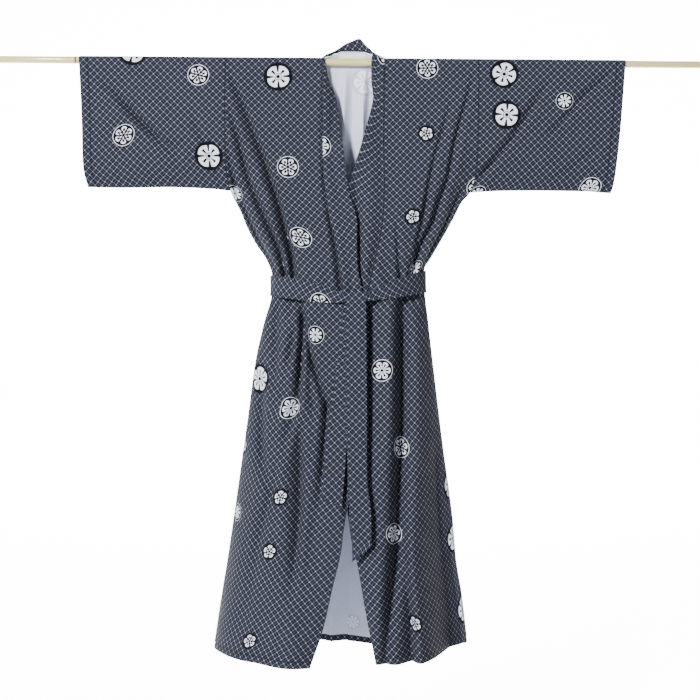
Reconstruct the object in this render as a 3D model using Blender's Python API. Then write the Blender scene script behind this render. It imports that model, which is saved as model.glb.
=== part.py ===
"""Cotton yukata robe hung by both sleeves on a bamboo rod, its belt tied in a half knot.

The robe hangs in front of and behind the rod, which runs along X through the origin.
-Y is the front of the robe, +X the wearer's left. Sizes are in millimetres until a
point is placed, where MM turns them to metres. "drop" is a height below the rod's
axis, and "out" is a distance from the robe's middle towards the half's own side, so
a negative "out" has crossed over to the other half.
"""
import math

import bmesh
import bpy
import numpy as np

MM = 0.001
COLLECTION = "yukata_on_rod"

# Rod
ROD_RADIUS = 8.5
ROD_LENGTH = 1800.0
ROD_SIDES = 20
ROD_JOINT_RISE = 0.9
ROD_JOINT_REACH = 7.0
ROD_JOINTS = (-655.0, -290.0, 110.0, 480.0)

# Cloth
WALL = 1.2
BAND_WALL = 2.4
SEAM_GAP = 0.3
COLLAR_GAP = 0.6
NECK_GAP = 1.0
ROD_CLEARANCE = 0.5
HANG_RADIUS = ROD_RADIUS + ROD_CLEARANCE + WALL
QUARTER = HANG_RADIUS * math.pi / 2
UNDERARM = 309.0
HEM = 1411.0
COLLAR_END = 950.0
NECK_HALF = 74.0
NECKLINE_RISE = 18.0
NECKLINE_BACK = 16.0
NECK_CURVE = 56.0
FOLD_FADE = 16.0
SIDES_MEET_ABOVE = 12.0
SIDES_MEET_OVER = 50.0
HEM_RISE_FROM_MIDDLE = 300.0

# Grid of a body half: columns from the side to the neck, then on to the middle
PANEL_COLUMNS = 20
STRIP_COLUMNS = 4
DENSE = 320
SHOULDER_ANGLES = (30.0, 60.0, 90.0)
BODY_DROPS = (
    0, 45, 105, 175, 245, 290, 304, 316, 350, 395, 440, 472, 491, 515, 540, 564, 595, 645,
    715, 795, 875, COLLAR_END - COLLAR_GAP, COLLAR_END + COLLAR_GAP, 1020, 1095, 1170, 1245, 1315, 1365, 1411,
)

# Where the cloth hangs at each drop. side_x is the armhole seam and then the side
# seam, side_y how far it hangs behind the rod's plane, front and back how far the
# panels stand from that plane, roll the width over which they turn in to the side
# seam, and curl how round that turn is (1 is a straight slope).
SIDE_COLUMNS = ("drop", "side_x", "side_y", "front", "back", "roll", "curl")
RIGHT_SIDE = (
    (0, 300, 0, 10.2, 10.2, 90, 1.0),
    (150, 299, 0, 26, 22, 90, 1.0),
    (250, 296, 0, 36, 30, 95, 1.0),
    (309, 286, 0, 42, 36, 100, 1.15),
    (353, 264, 0, 49, 43, 110, 1.45),
    (398, 245, 0, 57, 50, 115, 1.7),
    (437, 223, 0, 62, 55, 120, 1.85),
    (469, 201, 0, 66, 58, 120, 2.0),
    (505, 187, 0, 71, 61, 120, 2.0),
    (540, 186, 0, 73, 62, 120, 2.0),
    (628, 207, 4, 81, 66, 130, 2.0),
    (706, 224, 8, 88, 72, 140, 1.9),
    (833, 241, 14, 97, 82, 150, 1.85),
    (987, 262, 24, 106, 95, 165, 1.8),
    (1189, 290, 38, 117, 110, 185, 1.75),
    (1294, 306, 45, 122, 117, 195, 1.7),
    (1411, 322, 50, 127, 122, 205, 1.7),
)
LEFT_SIDE = (
    (0, 300, 0, 10.2, 10.2, 90, 1.0),
    (150, 299, 0, 26, 22, 90, 1.0),
    (250, 296, 0, 36, 30, 95, 1.0),
    (309, 282, 0, 42, 36, 100, 1.15),
    (327, 265, 0, 45, 39, 105, 1.3),
    (368, 244, 0, 51, 44, 110, 1.5),
    (423, 214, 0, 59, 52, 118, 1.8),
    (463, 191, 0, 65, 57, 120, 2.0),
    (492, 175, 0, 69, 60, 120, 2.0),
    (534, 176, 0, 72, 62, 120, 2.0),
    (610, 185, 3, 79, 65, 125, 2.0),
    (744, 202, 10, 89, 74, 135, 1.95),
    (906, 224, 30, 98, 85, 150, 1.85),
    (1096, 252, 58, 104, 102, 160, 1.8),
    (1197, 262, 75, 107, 112, 160, 1.8),
    (1294, 278, 88, 110, 122, 160, 1.8),
    (1411, 292, 98, 113, 133, 160, 1.8),
)

# Front edges: seam_x is where the collar band is sewn on, free_x the open edge, and
# lift how far the free edge turns in from the line of the panel
EDGE_COLUMNS = ("drop", "seam_x", "free_x", "lift")
RIGHT_EDGE = (
    (0, 71, 64, 0), (45, 71, 55, 8), (78, 71, 40, 13), (126, 70, 30, 12),
    (184, 69, 23, 5), (217, 68, 18, 0), (260, 67, 13, 0), (293, 65, 8, 0),
    (322, 59, 3, 0), (352, 55, -7, 0), (383, 50, -14, 0), (425, 38, -14, 0),
    (491, 26, -16, 0), (535, 19, -25, 0), (600, 15, -32, 0), (750, 14, -33, 0),
    (850, 22, -30, 0), (950, 38, -18, 0), (1020, 54, -2, 0), (1097, 67, 11, 0),
    (1147, 74, 17, 0), (1221, 90, 34, 0), (1324, 112, 57, 0), (1411, 142, 86, 0),
)
LEFT_EDGE = (
    (0, 77, 45, 0), (45, 77, 45, 0), (87, 77, 50, 0), (113, 76.5, 45, 0),
    (142, 76, 38, 0), (166, 76, 31, 0), (202, 76, 22, 0), (247, 77, 8, 0),
    (285, 78, -3, 0), (330, 77, -10, 0), (369, 75, -14, 0), (414, 69, -16, 0),
    (457, 60, -20, 0), (502, 50, -26, 0), (535, 43, -32, 0), (600, 34, -36, 0),
    (750, 30, -30, 0), (850, 30, -24, 0), (950, 38, -16, 0), (1020, 50, -7, 0),
    (1103, 60, 3, 0), (1185, 78, 22, 0), (1276, 94, 38, 0), (1411, 121, 65, 0),
)

# The left front lies under the right one, this far behind it near the middle
TUCK_COLUMNS = ("drop", "tuck")
LEFT_TUCK = ((0, 0), (225, 0), (275, 5), (1060, 5), (1130, 0), (1411, 0))
TUCK_FROM = 52.0
TUCK_OVER = 26.0

# Folds, each a soft valley: its stations give where it lies, how deep it is, and
# its half width towards the middle and towards the side
FOLD_COLUMNS = ("drop", "out", "depth", "inner", "outer")
RIGHT_FRONT_FOLDS = {
    "breast_crease": ((30, 290, 2, 10, 12), (150, 232, 8, 10, 12), (277, 188, 10, 9, 12),
                      (403, 151, 13, 9, 12), (520, 131, 14, 9, 12), (560, 128, 0, 9, 12)),
    "underarm_crease": ((106, 296, 0, 9, 10), (206, 262, 6, 9, 10), (313, 229, 8, 9, 10),
                        (410, 187, 10, 9, 10), (456, 169, 11, 8, 10), (520, 156, 11, 8, 11),
                        (560, 150, 0, 8, 11)),
    "lapel_seam": ((300, 64, 0, 8, 8), (400, 47, 6, 8, 8), (440, 38, 4, 8, 8), (480, 32, 0, 8, 8)),
    "pouch": ((540, 140, 0, 20, 18), (568, 140, 18, 20, 18), (612, 140, 0, 20, 18)),
    "pouch_side": ((560, 170, 0, 11, 12), (658, 174, 12, 11, 12), (752, 178, 8, 10, 12),
                   (800, 178, 0, 10, 12)),
    "branch_inner": ((560, 116, 0, 10, 10), (584, 112, 11, 10, 10), (642, 100, 13, 10, 11),
                     (745, 75, 12, 10, 12), (812, 54, 8, 10, 12), (860, 50, 0, 10, 12)),
    "branch_outer": ((610, 112, 0, 9, 9), (684, 113, 11, 9, 9), (761, 118, 13, 9, 9),
                     (845, 136, 10, 9, 10), (940, 154, 0, 10, 10)),
    "beside_tail": ((790, 50, 0, 10, 9), (850, 54, 11, 10, 9), (947, 60, 12, 10, 9), (1080, 70, 0, 10, 9)),
    "flank": ((690, 202, 0, 14, 15), (847, 206, 9, 15, 17), (1020, 186, 0, 16, 18)),
    "thigh": ((860, 125, 0, 16, 16), (1010, 120, 11, 15, 17), (1150, 119, 9, 16, 18), (1250, 126, 0, 17, 20)),
    "hem_wave": ((1080, 196, 0, 30, 28), (1250, 204, 6, 32, 30), (1411, 210, 12, 34, 32)),
    "edge_turn": ((1120, 0, 0, 30, 30), (1290, 34, 7, 34, 34), (1411, 62, 17, 36, 36)),
}
LEFT_FRONT_FOLDS = {
    "breast_crease": ((34, 288, 2, 10, 11), (148, 254, 8, 10, 11), (267, 227, 9, 10, 11),
                      (374, 193, 12, 9, 12), (416, 175, 14, 9, 12), (520, 137, 16, 9, 13),
                      (560, 130, 0, 9, 13)),
    "chest_crease": ((95, 233, 0, 9, 9), (235, 194, 6, 9, 9), (356, 171, 8, 9, 9), (440, 153, 6, 9, 9),
                     (500, 140, 0, 9, 9)),
    "belt_pinch": ((385, 107, 0, 7, 7), (470, 112, 6, 7, 7), (520, 117, 8, 7, 7), (556, 118, 0, 7, 7)),
    "under_lapel": ((280, 8, 0, 10, 10), (357, 15, 8, 11, 11), (470, 19, 10, 12, 12), (556, 26, 0, 12, 12)),
    "deep_pleat": ((540, 122, 0, 16, 17), (570, 122, 28, 16, 18), (670, 122, 42, 16, 18),
                   (850, 121, 48, 16, 20), (980, 117, 48, 16, 22), (1080, 114, 46, 16, 26),
                   (1163, 110, 42, 16, 30), (1243, 102, 34, 15, 36), (1330, 94, 24, 15, 40),
                   (1411, 88, 16, 16, 44)),
    "tail_valley": ((550, 39, 0, 12, 24), (590, 41, 20, 12, 26), (700, 42, 22, 12, 26), (800, 43, 20, 12, 24),
                    (900, 44, 14, 11, 18), (1061, 53, 6, 10, 12), (1140, 58, 0, 10, 12)),
    "flank": ((800, 202, 0, 30, 30), (950, 208, 16, 38, 34), (1080, 216, 34, 44, 36),
              (1190, 226, 48, 46, 38), (1300, 238, 66, 48, 40), (1411, 246, 84, 50, 42)),
    "edge_turn": ((1090, 0, 0, 26, 26), (1200, 14, 14, 28, 26), (1411, 48, 34, 32, 28)),
}
RIGHT_BACK_FOLDS = {
    "blade_crease": ((120, 268, 0, 14, 14), (320, 208, 6, 14, 14), (512, 138, 10, 13, 13),
                     (552, 136, 0, 13, 13)),
    "spine_crease": ((330, 70, 0, 14, 14), (440, 66, 5, 13, 13), (515, 62, 8, 12, 12), (552, 62, 0, 12, 12)),
    "seat_crease": ((545, 96, 0, 15, 15), (585, 98, 10, 16, 16), (760, 112, 8, 20, 20),
                    (980, 128, 0, 24, 24)),
    "hem_wave": ((820, 150, 0, 34, 34), (1150, 172, 14, 40, 40), (1411, 186, 24, 44, 44)),
}
LEFT_BACK_FOLDS = {
    "blade_crease": ((140, 262, 0, 14, 14), (330, 198, 7, 14, 14), (508, 120, 11, 13, 13),
                     (552, 116, 0, 13, 13)),
    "spine_crease": ((300, 40, 0, 14, 14), (430, 42, 5, 13, 13), (512, 44, 9, 12, 12), (552, 44, 0, 12, 12)),
    "seat_crease": ((545, 78, 0, 15, 15), (590, 80, 11, 17, 17), (800, 74, 12, 24, 24),
                    (1000, 66, 18, 34, 34), (1411, 56, 44, 52, 50)),
    "hem_wave": ((900, 190, 0, 32, 32), (1200, 204, 10, 34, 34), (1411, 212, 16, 36, 36)),
}

# How much the hem rises from its lowest line: along the whole panel, and at the side
HEM_RISE = {
    ("right", "front"): (0.0, 11.0),
    ("right", "back"): (11.0, 11.0),
    ("left", "front"): (3.0, 20.0),
    ("left", "back"): (11.0, 20.0),
}

# Collar band round the neck. "along" runs up the front seam, through 0 on top of the
# shoulder, to minus the half width of the neck at the middle of the back
NECK_COLUMNS = ("along", "free_x", "free_y", "free_z")
RIGHT_NECK = (
    (-74.0, 0.0, 18.0, 55.0), (-55.0, 14.5, 16.5, 48.5), (-37.0, 28.0, 12.5, 38.5),
    (-18.0, 46.0, 4.5, 25.5), (0.0, 62.0, -4.0, 17.0), (8.0, 64.0, -9.5, 12.5),
    (QUARTER, 64.5, -13.0, 0.0),
)
LEFT_NECK = (
    (-74.0, 0.0, 17.0, 55.0), (-55.0, 16.5, 19.0, 61.0), (-37.0, 31.0, 16.0, 46.0),
    (-18.0, 41.5, 8.0, 34.0), (0.0, 46.0, -0.5, 24.5), (8.0, 47.0, -9.0, 16.5),
    (QUARTER, 45.0, -15.0, 0.0),
)
BAND_COLUMNS = 3
COLLAR_DROPS = (22, 75, 140)

# Sleeves: half depths of the tube down the armhole and down the cuff, as shares of
# the drop to its lower fold
SLEEVE_COLUMNS = ("share", "armhole", "cuff")
SLEEVE_DEPTHS = (
    (0.0, 10.2, 10.2), (0.12, 15.5, 12.0), (0.30, 21.0, 14.0), (0.50, 25.0, 16.5),
    (0.68, 24.5, 16.5), (0.84, 18.0, 13.5), (0.94, 9.0, 8.0), (0.985, 3.2, 3.2),
)
SLEEVE_SHARES = (0.0, 0.07, 0.18, 0.32, 0.48, 0.64, 0.78, 0.88, 0.95, 0.985)
SLEEVE_STEPS = 10
FOLD_RADIUS = 3.2
SLEEVE_FADE = 0.1
CUFF_COLUMNS = ("drop", "cuff_x")
LOWER_COLUMNS = ("share", "lower")
RIGHT_CUFF = ((0, 647), (142, 638), (258, 634), (303, 624))
LEFT_CUFF = ((0, 647), (121, 638), (220, 629), (293, 620), (309, 614))
RIGHT_LOWER = ((0.0, 309), (0.12, 305), (0.4, 301.5), (0.75, 303.5), (1.0, 303))
LEFT_LOWER = ((0.0, 309), (0.2, 304.5), (0.5, 303), (0.8, 304), (1.0, 308))
RIGHT_SLEEVE_FOLDS = {
    "long_drag": ((20, 625, 0, 15, 15), (76, 561, 5, 15, 15), (168, 471, 6, 15, 15), (235, 385, 0, 15, 15)),
    "short_drag": ((100, 548, 0, 13, 13), (156, 488, 5, 13, 13), (250, 380, 0, 13, 13)),
    "cuff_drag": ((262, 640, 2, 12, 12), (290, 589, 3, 12, 12), (300, 560, 0, 12, 12)),
}
LEFT_SLEEVE_FOLDS = {
    "cuff_drag": ((8, 632, 0, 14, 14), (79, 549, 5, 15, 15), (156, 484, 5, 15, 15), (205, 430, 0, 15, 15)),
    "long_drag": ((25, 485, 0, 14, 14), (131, 412, 6, 15, 15), (213, 355, 7, 15, 15), (285, 312, 3, 15, 15)),
    "armhole_drag": ((225, 352, 0, 11, 11), (262, 318, 5, 11, 11), (288, 302, 2, 11, 11)),
}

# Belt: its upper and lower edge round the waist, as shares of each quarter from the
# side (0) to the middle (1), and how it bunches where it passes through its knot
BELT_COLUMNS = ("share", "top", "low")
BELT_EDGES = {
    ("right", "front"): ((0.0, 508, 555), (0.35, 516, 565), (0.62, 530, 573), (0.80, 546, 574),
                         (0.90, 555, 572), (1.0, 557, 571)),
    ("right", "back"): ((0.0, 508, 555), (0.5, 501, 549), (1.0, 498, 546)),
    ("left", "back"): ((0.0, 493, 544), (0.5, 495, 544), (1.0, 498, 546)),
    ("left", "front"): ((0.0, 493, 544), (0.3, 503, 553), (0.6, 524, 563), (0.80, 543, 568),
                        (0.90, 554, 570), (1.0, 557, 571)),
}
BELT_QUARTER_STEPS = 14
BELT_LEVEL = 530.0
BELT_STANDOFF = 1.8
BELT_WALL = 2.4
KNOT_MIDDLE = 12.0
KNOT_STANDOFF = 4.6
KNOT_WALL = 4.6
KNOT_STARTS = 0.72
KNOT_FULL = 0.87

# Tails: edges of each tail at each drop and how far its inner face stands off the robe
TAIL_COLUMNS = ("drop", "left_x", "right_x", "standoff")
FRONT_TAIL = (
    (560, -10, 35, 9.6), (600, -11.5, 36.5, 8.8), (700, -10.5, 37.5, 7.6), (800, -8.5, 39, 7.2),
    (900, -6, 40, 7.0), (985, -2.5, 41.5, 7.4), (1020, -0.5, 46, 8.0), (1061, 2, 51, 9.0),
    (1128, 9, 52, 10.0),
)
REAR_TAIL = (
    (575, -15, 30, 1.9), (650, -22, 24, 2.0), (720, -30, 17, 2.2), (787, -38, 9.5, 2.4),
    (847, -48, 0, 2.6), (900, -54, -6.5, 2.8), (960, -56.5, -9.5, 3.0), (1024, -61, -15, 3.2),
)
FRONT_TAIL_SLANT = 37.0
REAR_TAIL_SLANT = 19.0
TAIL_ROWS = 16
TAIL_SPLITS = 2
TAIL_WALL = 2.4
SLANT_ROWS = 3
HOOK_STANDOFF = 1.7
HOOK_LEG = 13.0
HOOK_DROP = 551.5
HOOK_ANGLES = (36.0, 72.0, 108.0, 144.0)

# Label inside the back of the neck, plain
LABEL_HALF = 30.0
LABEL_HEIGHTS = (9.0, 22.5)
LABEL_WALL = 0.8
LABEL_GAP = 0.6
LABEL_STEPS = 6

COTTON = (0.028, 0.032, 0.058, 1.0)
COTTON_BAND = (0.030, 0.034, 0.062, 1.0)
BAMBOO = (0.72, 0.66, 0.44, 1.0)
LABEL_WHITE = (0.86, 0.86, 0.84, 1.0)


class Half:
    """The tables of one half of the robe and the side of the middle it lies on."""

    def __init__(self, name, sign, sides, edges, tuck, neck, cuff, lower, folds):
        self.name = name
        self.sign = sign
        self.sides = named_columns(sides, SIDE_COLUMNS)
        self.edges = named_columns(edges, EDGE_COLUMNS)
        self.tuck = named_columns(tuck, TUCK_COLUMNS)
        self.neck = named_columns(neck, NECK_COLUMNS)
        self.cuff = named_columns(cuff, CUFF_COLUMNS)
        self.lower = named_columns(lower, LOWER_COLUMNS)
        self.folds = {}
        for face, rows in folds.items():
            self.folds[face] = [named_columns(stations, FOLD_COLUMNS) for stations in rows.values()]


def named_columns(rows, names):
    """A table's columns by name."""
    return {name: np.array(column, float) for name, column in zip(names, zip(*rows))}


def read_curve(stations, values, at):
    """Read a smooth curve through a column's values, which never overshoots them."""
    at = np.clip(at, stations[0], stations[-1])
    rise = np.diff(values) / np.diff(stations)
    slope = np.zeros(len(values))
    slope[0] = rise[0]
    slope[-1] = rise[-1]
    product = rise[1:] * rise[:-1]
    total = np.where(product > 0, rise[1:] + rise[:-1], 1.0)
    slope[1:-1] = np.where(product > 0, 2 * product / total, 0.0)
    k = np.clip(np.searchsorted(stations, at, side="right") - 1, 0, len(stations) - 2)
    width = stations[k + 1] - stations[k]
    t = (at - stations[k]) / width
    start = (1 + 2 * t) * (1 - t) ** 2 * values[k] + t * (1 - t) ** 2 * width * slope[k]
    end = t * t * (3 - 2 * t) * values[k + 1] + t * t * (t - 1) * width * slope[k + 1]
    return start + end


def read(table, column, at):
    """Read a named column of a table at a drop or a share."""
    stations = table[next(iter(table))]
    return read_curve(stations, table[column], at)


def ease(t):
    """Smooth step from 0 to 1."""
    t = np.clip(t, 0.0, 1.0)
    return t * t * (3 - 2 * t)


def fold_depth(folds, out, drop):
    """How far the folds draw the cloth in at a place on the panel."""
    total = np.zeros_like(np.asarray(out, float))
    for fold in folds:
        inside = (drop >= fold["drop"][0]) & (drop <= fold["drop"][-1])
        depth = read(fold, "depth", drop) * inside
        away = out - read(fold, "out", drop)
        half_width = np.where(away > 0, read(fold, "outer", drop), read(fold, "inner", drop))
        total = total + depth * np.exp(-((away / half_width) ** 2))
    return total


def armhole_depth(face, drop):
    """How far the armhole seam stands from the rod's plane."""
    table = named_columns(SLEEVE_DEPTHS, SLEEVE_COLUMNS)
    return read(table, "armhole", drop / UNDERARM)


def panel_depth(half, face, out, drop, plain=False):
    """Distance of the cloth's outer face in front of or behind the rod's plane.

    plain leaves out the folds and the tuck under the other half.
    """
    side = half.sides
    full = read(side, face, drop)
    side_y = read(side, "side_y", drop)
    at_side = side_y if face == "back" else -side_y
    reach = np.clip((read(side, "side_x", drop) - out) / read(side, "roll", drop), 0.0, 1.0)
    curl = read(side, "curl", drop)
    turned = (1 - (1 - reach) ** curl) ** (1 / curl)
    closed = at_side + (full - at_side) * turned
    mouth = armhole_depth(face, min(drop, UNDERARM))
    opened = mouth + (full - mouth) * ease(reach)
    share = ease((drop - UNDERARM + SIDES_MEET_ABOVE) / SIDES_MEET_OVER)
    depth = opened + (closed - opened) * share
    if drop > UNDERARM:
        depth = np.where(out > read(side, "side_x", drop) - 0.5, np.minimum(depth, closed), depth)
    if plain:
        return depth
    depth = depth - fold_depth(half.folds[face], out, drop) * fold_fade(half, out, drop)
    if face == "front":
        depth = depth - read(half.tuck, "tuck", drop) * ease((TUCK_FROM - out) / TUCK_OVER)
    return depth


def fold_fade(half, out, drop):
    """Folds die out against the side seam, which stays on its own line."""
    return ease((read(half.sides, "side_x", drop) - out) / FOLD_FADE)


def section(half, face, drop, edge, plain=False):
    """Fine section of a panel from its side to an edge, as (out, y) points."""
    side_x = float(read(half.sides, "side_x", drop))
    t = np.linspace(0.0, 1.0, DENSE)
    crowding = 0.75 * math.pi / 2
    out = side_x - (side_x - edge) * (1 - np.cos(t * crowding)) / (1 - math.cos(crowding))
    depth = panel_depth(half, face, out, drop, plain)
    facing = 1.0 if face == "back" else -1.0
    if drop > UNDERARM:
        at_seam = facing * float(read(half.sides, "side_y", drop)) + SEAM_GAP / 2
        depth = np.maximum(depth, at_seam)
    return np.column_stack((out, facing * depth))


def spread(points, count):
    """Points at equal steps along a fine section."""
    steps = np.linalg.norm(np.diff(points, axis=0), axis=1)
    run = np.concatenate(((0.0,), np.cumsum(steps)))
    at = np.linspace(0.0, run[-1], count + 1)
    return np.column_stack((np.interp(at, run, points[:, 0]), np.interp(at, run, points[:, 1])))


def hem_lift(half, face, out, drop):
    """How far a row is raised because the hem isn't level."""
    whole, at_side = HEM_RISE[(half.name, face)]
    rise = whole + at_side * np.clip(out / HEM_RISE_FROM_MIDDLE, 0.0, 1.0) ** 3
    return rise * (drop / HEM) ** 5


def neckline(out):
    """Back neckline from the shoulder to the middle, as (y, height) over the rod."""
    share = ease((NECK_HALF - np.abs(out)) / NECK_CURVE)
    return NECKLINE_BACK * share, HANG_RADIUS + NECKLINE_RISE * share


def panel_row(half, face, drop):
    """One row of a half's outer points, side to middle, as (out, y, height)."""
    if face == "front":
        seam_x = float(read(half.edges, "seam_x", drop))
        free_x = float(read(half.edges, "free_x", drop))
    else:
        seam_x = float(read(half.edges, "seam_x", 0.0))
        free_x = SEAM_GAP / 2
    first = section(half, face, drop, seam_x)
    panel = spread(first, PANEL_COLUMNS)
    strip_out = np.linspace(seam_x, free_x, STRIP_COLUMNS + 1)[1:]
    strip_y = panel_depth(half, face, strip_out, drop)
    strip_y = strip_y if face == "back" else -strip_y
    row = np.vstack((panel, np.column_stack((strip_out, strip_y))))
    height = -drop + hem_lift(half, face, row[:, 0], drop)
    return np.column_stack((row, height))


def shoulder_row(half, top_row, angle):
    """A row over the rod: its columns leave the row at the rod's height."""
    out = top_row[:, 0]
    turn = math.radians(angle)
    y = np.full(len(out), HANG_RADIUS * math.cos(turn)) * np.sign(top_row[:, 1])
    height = np.full(len(out), HANG_RADIUS * math.sin(turn))
    line_y, line_height = neckline(out)
    share = ease((NECK_HALF - out) / (NECK_CURVE / 2))
    part = angle / 90.0
    y = y + (top_row[:, 1] + (line_y - top_row[:, 1]) * part - y) * share
    height = height + (line_height * part - height) * share
    clear = np.maximum(HANG_RADIUS / np.hypot(y, height), 1.0)
    return np.column_stack((out, y * clear, height * clear))


def body_grid(half):
    """Outer points of a body half, from the back hem over the shoulder to the front."""
    back = [panel_row(half, "back", drop) for drop in reversed(BODY_DROPS)]
    front = [panel_row(half, "front", drop) for drop in BODY_DROPS]
    rising = [shoulder_row(half, back[-1], angle) for angle in SHOULDER_ANGLES]
    falling = [shoulder_row(half, front[0], angle) for angle in SHOULDER_ANGLES[:-1]]
    grid = np.array(back + rising + falling[::-1] + front)
    grid[:, 0, 0] -= SEAM_GAP / 2
    return grid


def grid_normals(grid):
    """Unit normals of a grid of points, facing away from the rod's plane."""
    along = np.gradient(grid, axis=0)
    across = np.gradient(grid, axis=1)
    normals = np.cross(along, across)
    lengths = np.linalg.norm(normals, axis=2, keepdims=True)
    return normals / np.maximum(lengths, 1e-9)


def armhole_normal(y, height):
    """Normal of the armhole seam in its own plane, the same for body and sleeve."""
    if height >= 0:
        length = math.hypot(y, height)
        return np.array((0.0, y / length, height / length))
    step = 1.0
    drop = min(-height, UNDERARM - step)
    slope = (armhole_depth("front", drop + step) - armhole_depth("front", drop - step)) / (2 * step)
    length = math.hypot(1.0, slope)
    return np.array((0.0, math.copysign(1.0, y) / length, slope / length))


def body_normals(grid):
    """Normals of a body half, set square to the seams that it shares."""
    normals = grid_normals(grid)
    middle_row = len(BODY_DROPS) + len(SHOULDER_ANGLES) - 1
    up_back = grid_normals(grid[: middle_row + 1])
    at_neck = grid[0, :, 0] < NECK_HALF
    normals[: middle_row + 1, at_neck] = up_back[:, at_neck]
    if normals[middle_row, 3, 2] < 0:
        normals = -normals
    for row in range(grid.shape[0]):
        height = grid[row, 0, 2]
        if height > -UNDERARM:
            normals[row, 0] = armhole_normal(grid[row, 0, 1], height)
        else:
            normals[row, 0] = (1.0, 0.0, 0.0)
    normals[: middle_row + 1, -1, 0] = 0.0
    normals[: middle_row + 1, -1] /= np.linalg.norm(normals[: middle_row + 1, -1], axis=1)[:, None]
    return normals


def place(half, points):
    """Turn (out, y, height) points of a half into metres in the robe's frame."""
    return points * np.array((half.sign, 1.0, 1.0)) * MM


def make_wall(name, material, outer, inner, skipped=None, joined=False):
    """Closed wall between two grids of points, (rows, columns, 3), in metres."""
    rows, columns = outer.shape[:2]
    bm = bmesh.new()
    bmesh.ops.create_grid(bm, x_segments=columns - 1, y_segments=rows - 1, size=0.5)
    place_index = bm.verts.layers.int.new("place_index")
    for index, vertex in enumerate(bm.verts):
        vertex[place_index] = index
        vertex.co = outer[divmod(index, columns)]
    if skipped is not None:
        gone = []
        for face in bm.faces:
            corner = min(vertex[place_index] for vertex in face.verts)
            if skipped(*divmod(corner, columns)):
                gone.append(face)
        bmesh.ops.delete(bm, geom=gone, context="FACES")
    if joined:
        bmesh.ops.remove_doubles(bm, verts=bm.verts[:], dist=1e-7)
    bmesh.ops.triangulate(bm, faces=bm.faces[:], quad_method="FIXED")
    made = bmesh.ops.extrude_face_region(bm, geom=bm.faces[:], use_keep_orig=True)
    for element in made["geom"]:
        if isinstance(element, bmesh.types.BMVert):
            element.co = inner[divmod(element[place_index], columns)]
    bmesh.ops.recalc_face_normals(bm, faces=bm.faces[:])
    return finish_object(name, material, bm)


def finish_object(name, material, bm):
    """Turn a finished bmesh into a named object of the robe."""
    mesh = bpy.data.meshes.new(name)
    bm.to_mesh(mesh)
    bm.free()
    mesh.materials.append(material)
    mesh.shade_smooth()
    mesh.set_sharp_from_angle(angle=math.radians(40))
    thing = bpy.data.objects.new(name, mesh)
    bpy.data.collections[COLLECTION].objects.link(thing)
    return thing


def make_body_half(half, material):
    """Body piece: back and front in one length over the shoulder."""
    outer = body_grid(half)
    inner = outer - body_normals(outer) * WALL
    shoulder = len(BODY_DROPS) + len(SHOULDER_ANGLES) - 1
    collar_rows = sum(1 for drop in BODY_DROPS if drop < COLLAR_END)
    lowest = shoulder + len(SHOULDER_ANGLES) + collar_rows

    def under_collar(row, column):
        return column >= PANEL_COLUMNS and shoulder <= row < lowest

    make_wall("body_" + half.name, material, place(half, outer), place(half, inner), under_collar)


def sleeve_grid(half):
    """Outer points of a sleeve tube: rings from the armhole to the cuff."""
    depths = named_columns(SLEEVE_DEPTHS, SLEEVE_COLUMNS)
    rings = []
    for step in range(SLEEVE_STEPS + 1):
        t = step / SLEEVE_STEPS
        lower = float(read(half.lower, "lower", t))
        ring = []
        for face, facing in (("back", 1.0), ("front", -1.0)):
            leg = []
            for share in SLEEVE_SHARES:
                drop = share * lower
                start = float(read(half.sides, "side_x", min(drop, UNDERARM)))
                end = float(read(half.cuff, "cuff_x", drop))
                out = start + (end - start) * t
                at_armhole = read(depths, "armhole", share)
                at_cuff = read(depths, "cuff", share)
                depth = at_armhole + (at_cuff - at_armhole) * ease(t)
                if step > 0:
                    fade = ease(share / SLEEVE_FADE) * ease((1 - SLEEVE_FADE / 3 - share) / SLEEVE_FADE)
                    depth = depth - fold_depth(half.folds["sleeve"], out, drop) * fade
                leg.append((out, facing * float(depth), -drop))
            lowest = leg[-1]
            turn = math.radians(45)
            low_y = facing * FOLD_RADIUS * math.cos(turn)
            leg.append((lowest[0], low_y, lowest[2] - FOLD_RADIUS * math.sin(turn)))
            leg.reverse()
            ring.append(leg)
        back, front = ring
        low_point = (back[0][0], 0.0, back[1][2] - FOLD_RADIUS)
        over = []
        for angle in (30.0, 60.0, 90.0, 120.0, 150.0):
            turn = math.radians(angle)
            over.append((back[-1][0], HANG_RADIUS * math.cos(turn), HANG_RADIUS * math.sin(turn)))
        front.reverse()
        rings.append([low_point] + back + over + front + [low_point])
    grid = np.array(rings)
    grid[0, :, 0] += SEAM_GAP / 2
    return grid


def ring_normals(grid):
    """Normals of a closed tube whose first and last columns are the same."""
    padded = np.concatenate((grid[:, -2:-1], grid, grid[:, 1:2]), axis=1)
    across = (padded[:, 2:] - padded[:, :-2]) / 2
    along = np.gradient(grid, axis=0)
    normals = np.cross(along, across)
    return normals / np.linalg.norm(normals, axis=2, keepdims=True)


def make_sleeve(half, material):
    """Sleeve: one piece folded over the rod and closed along its lower edge."""
    outer = sleeve_grid(half)
    normals = ring_normals(outer)
    top = outer.shape[1] // 2
    if normals[1, top, 2] < 0:
        normals = -normals
    for column in range(1, outer.shape[1] - 1):
        y, height = outer[0, column, 1:]
        if height > -UNDERARM * SLEEVE_SHARES[-1]:
            normals[0, column] = armhole_normal(y, height)
    normals[0, :, 0] = 0.0
    normals[0] /= np.linalg.norm(normals[0], axis=1)[:, None]
    inner = outer - normals * WALL
    make_wall("sleeve_" + half.name, material, place(half, outer), place(half, inner), joined=True)


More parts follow.
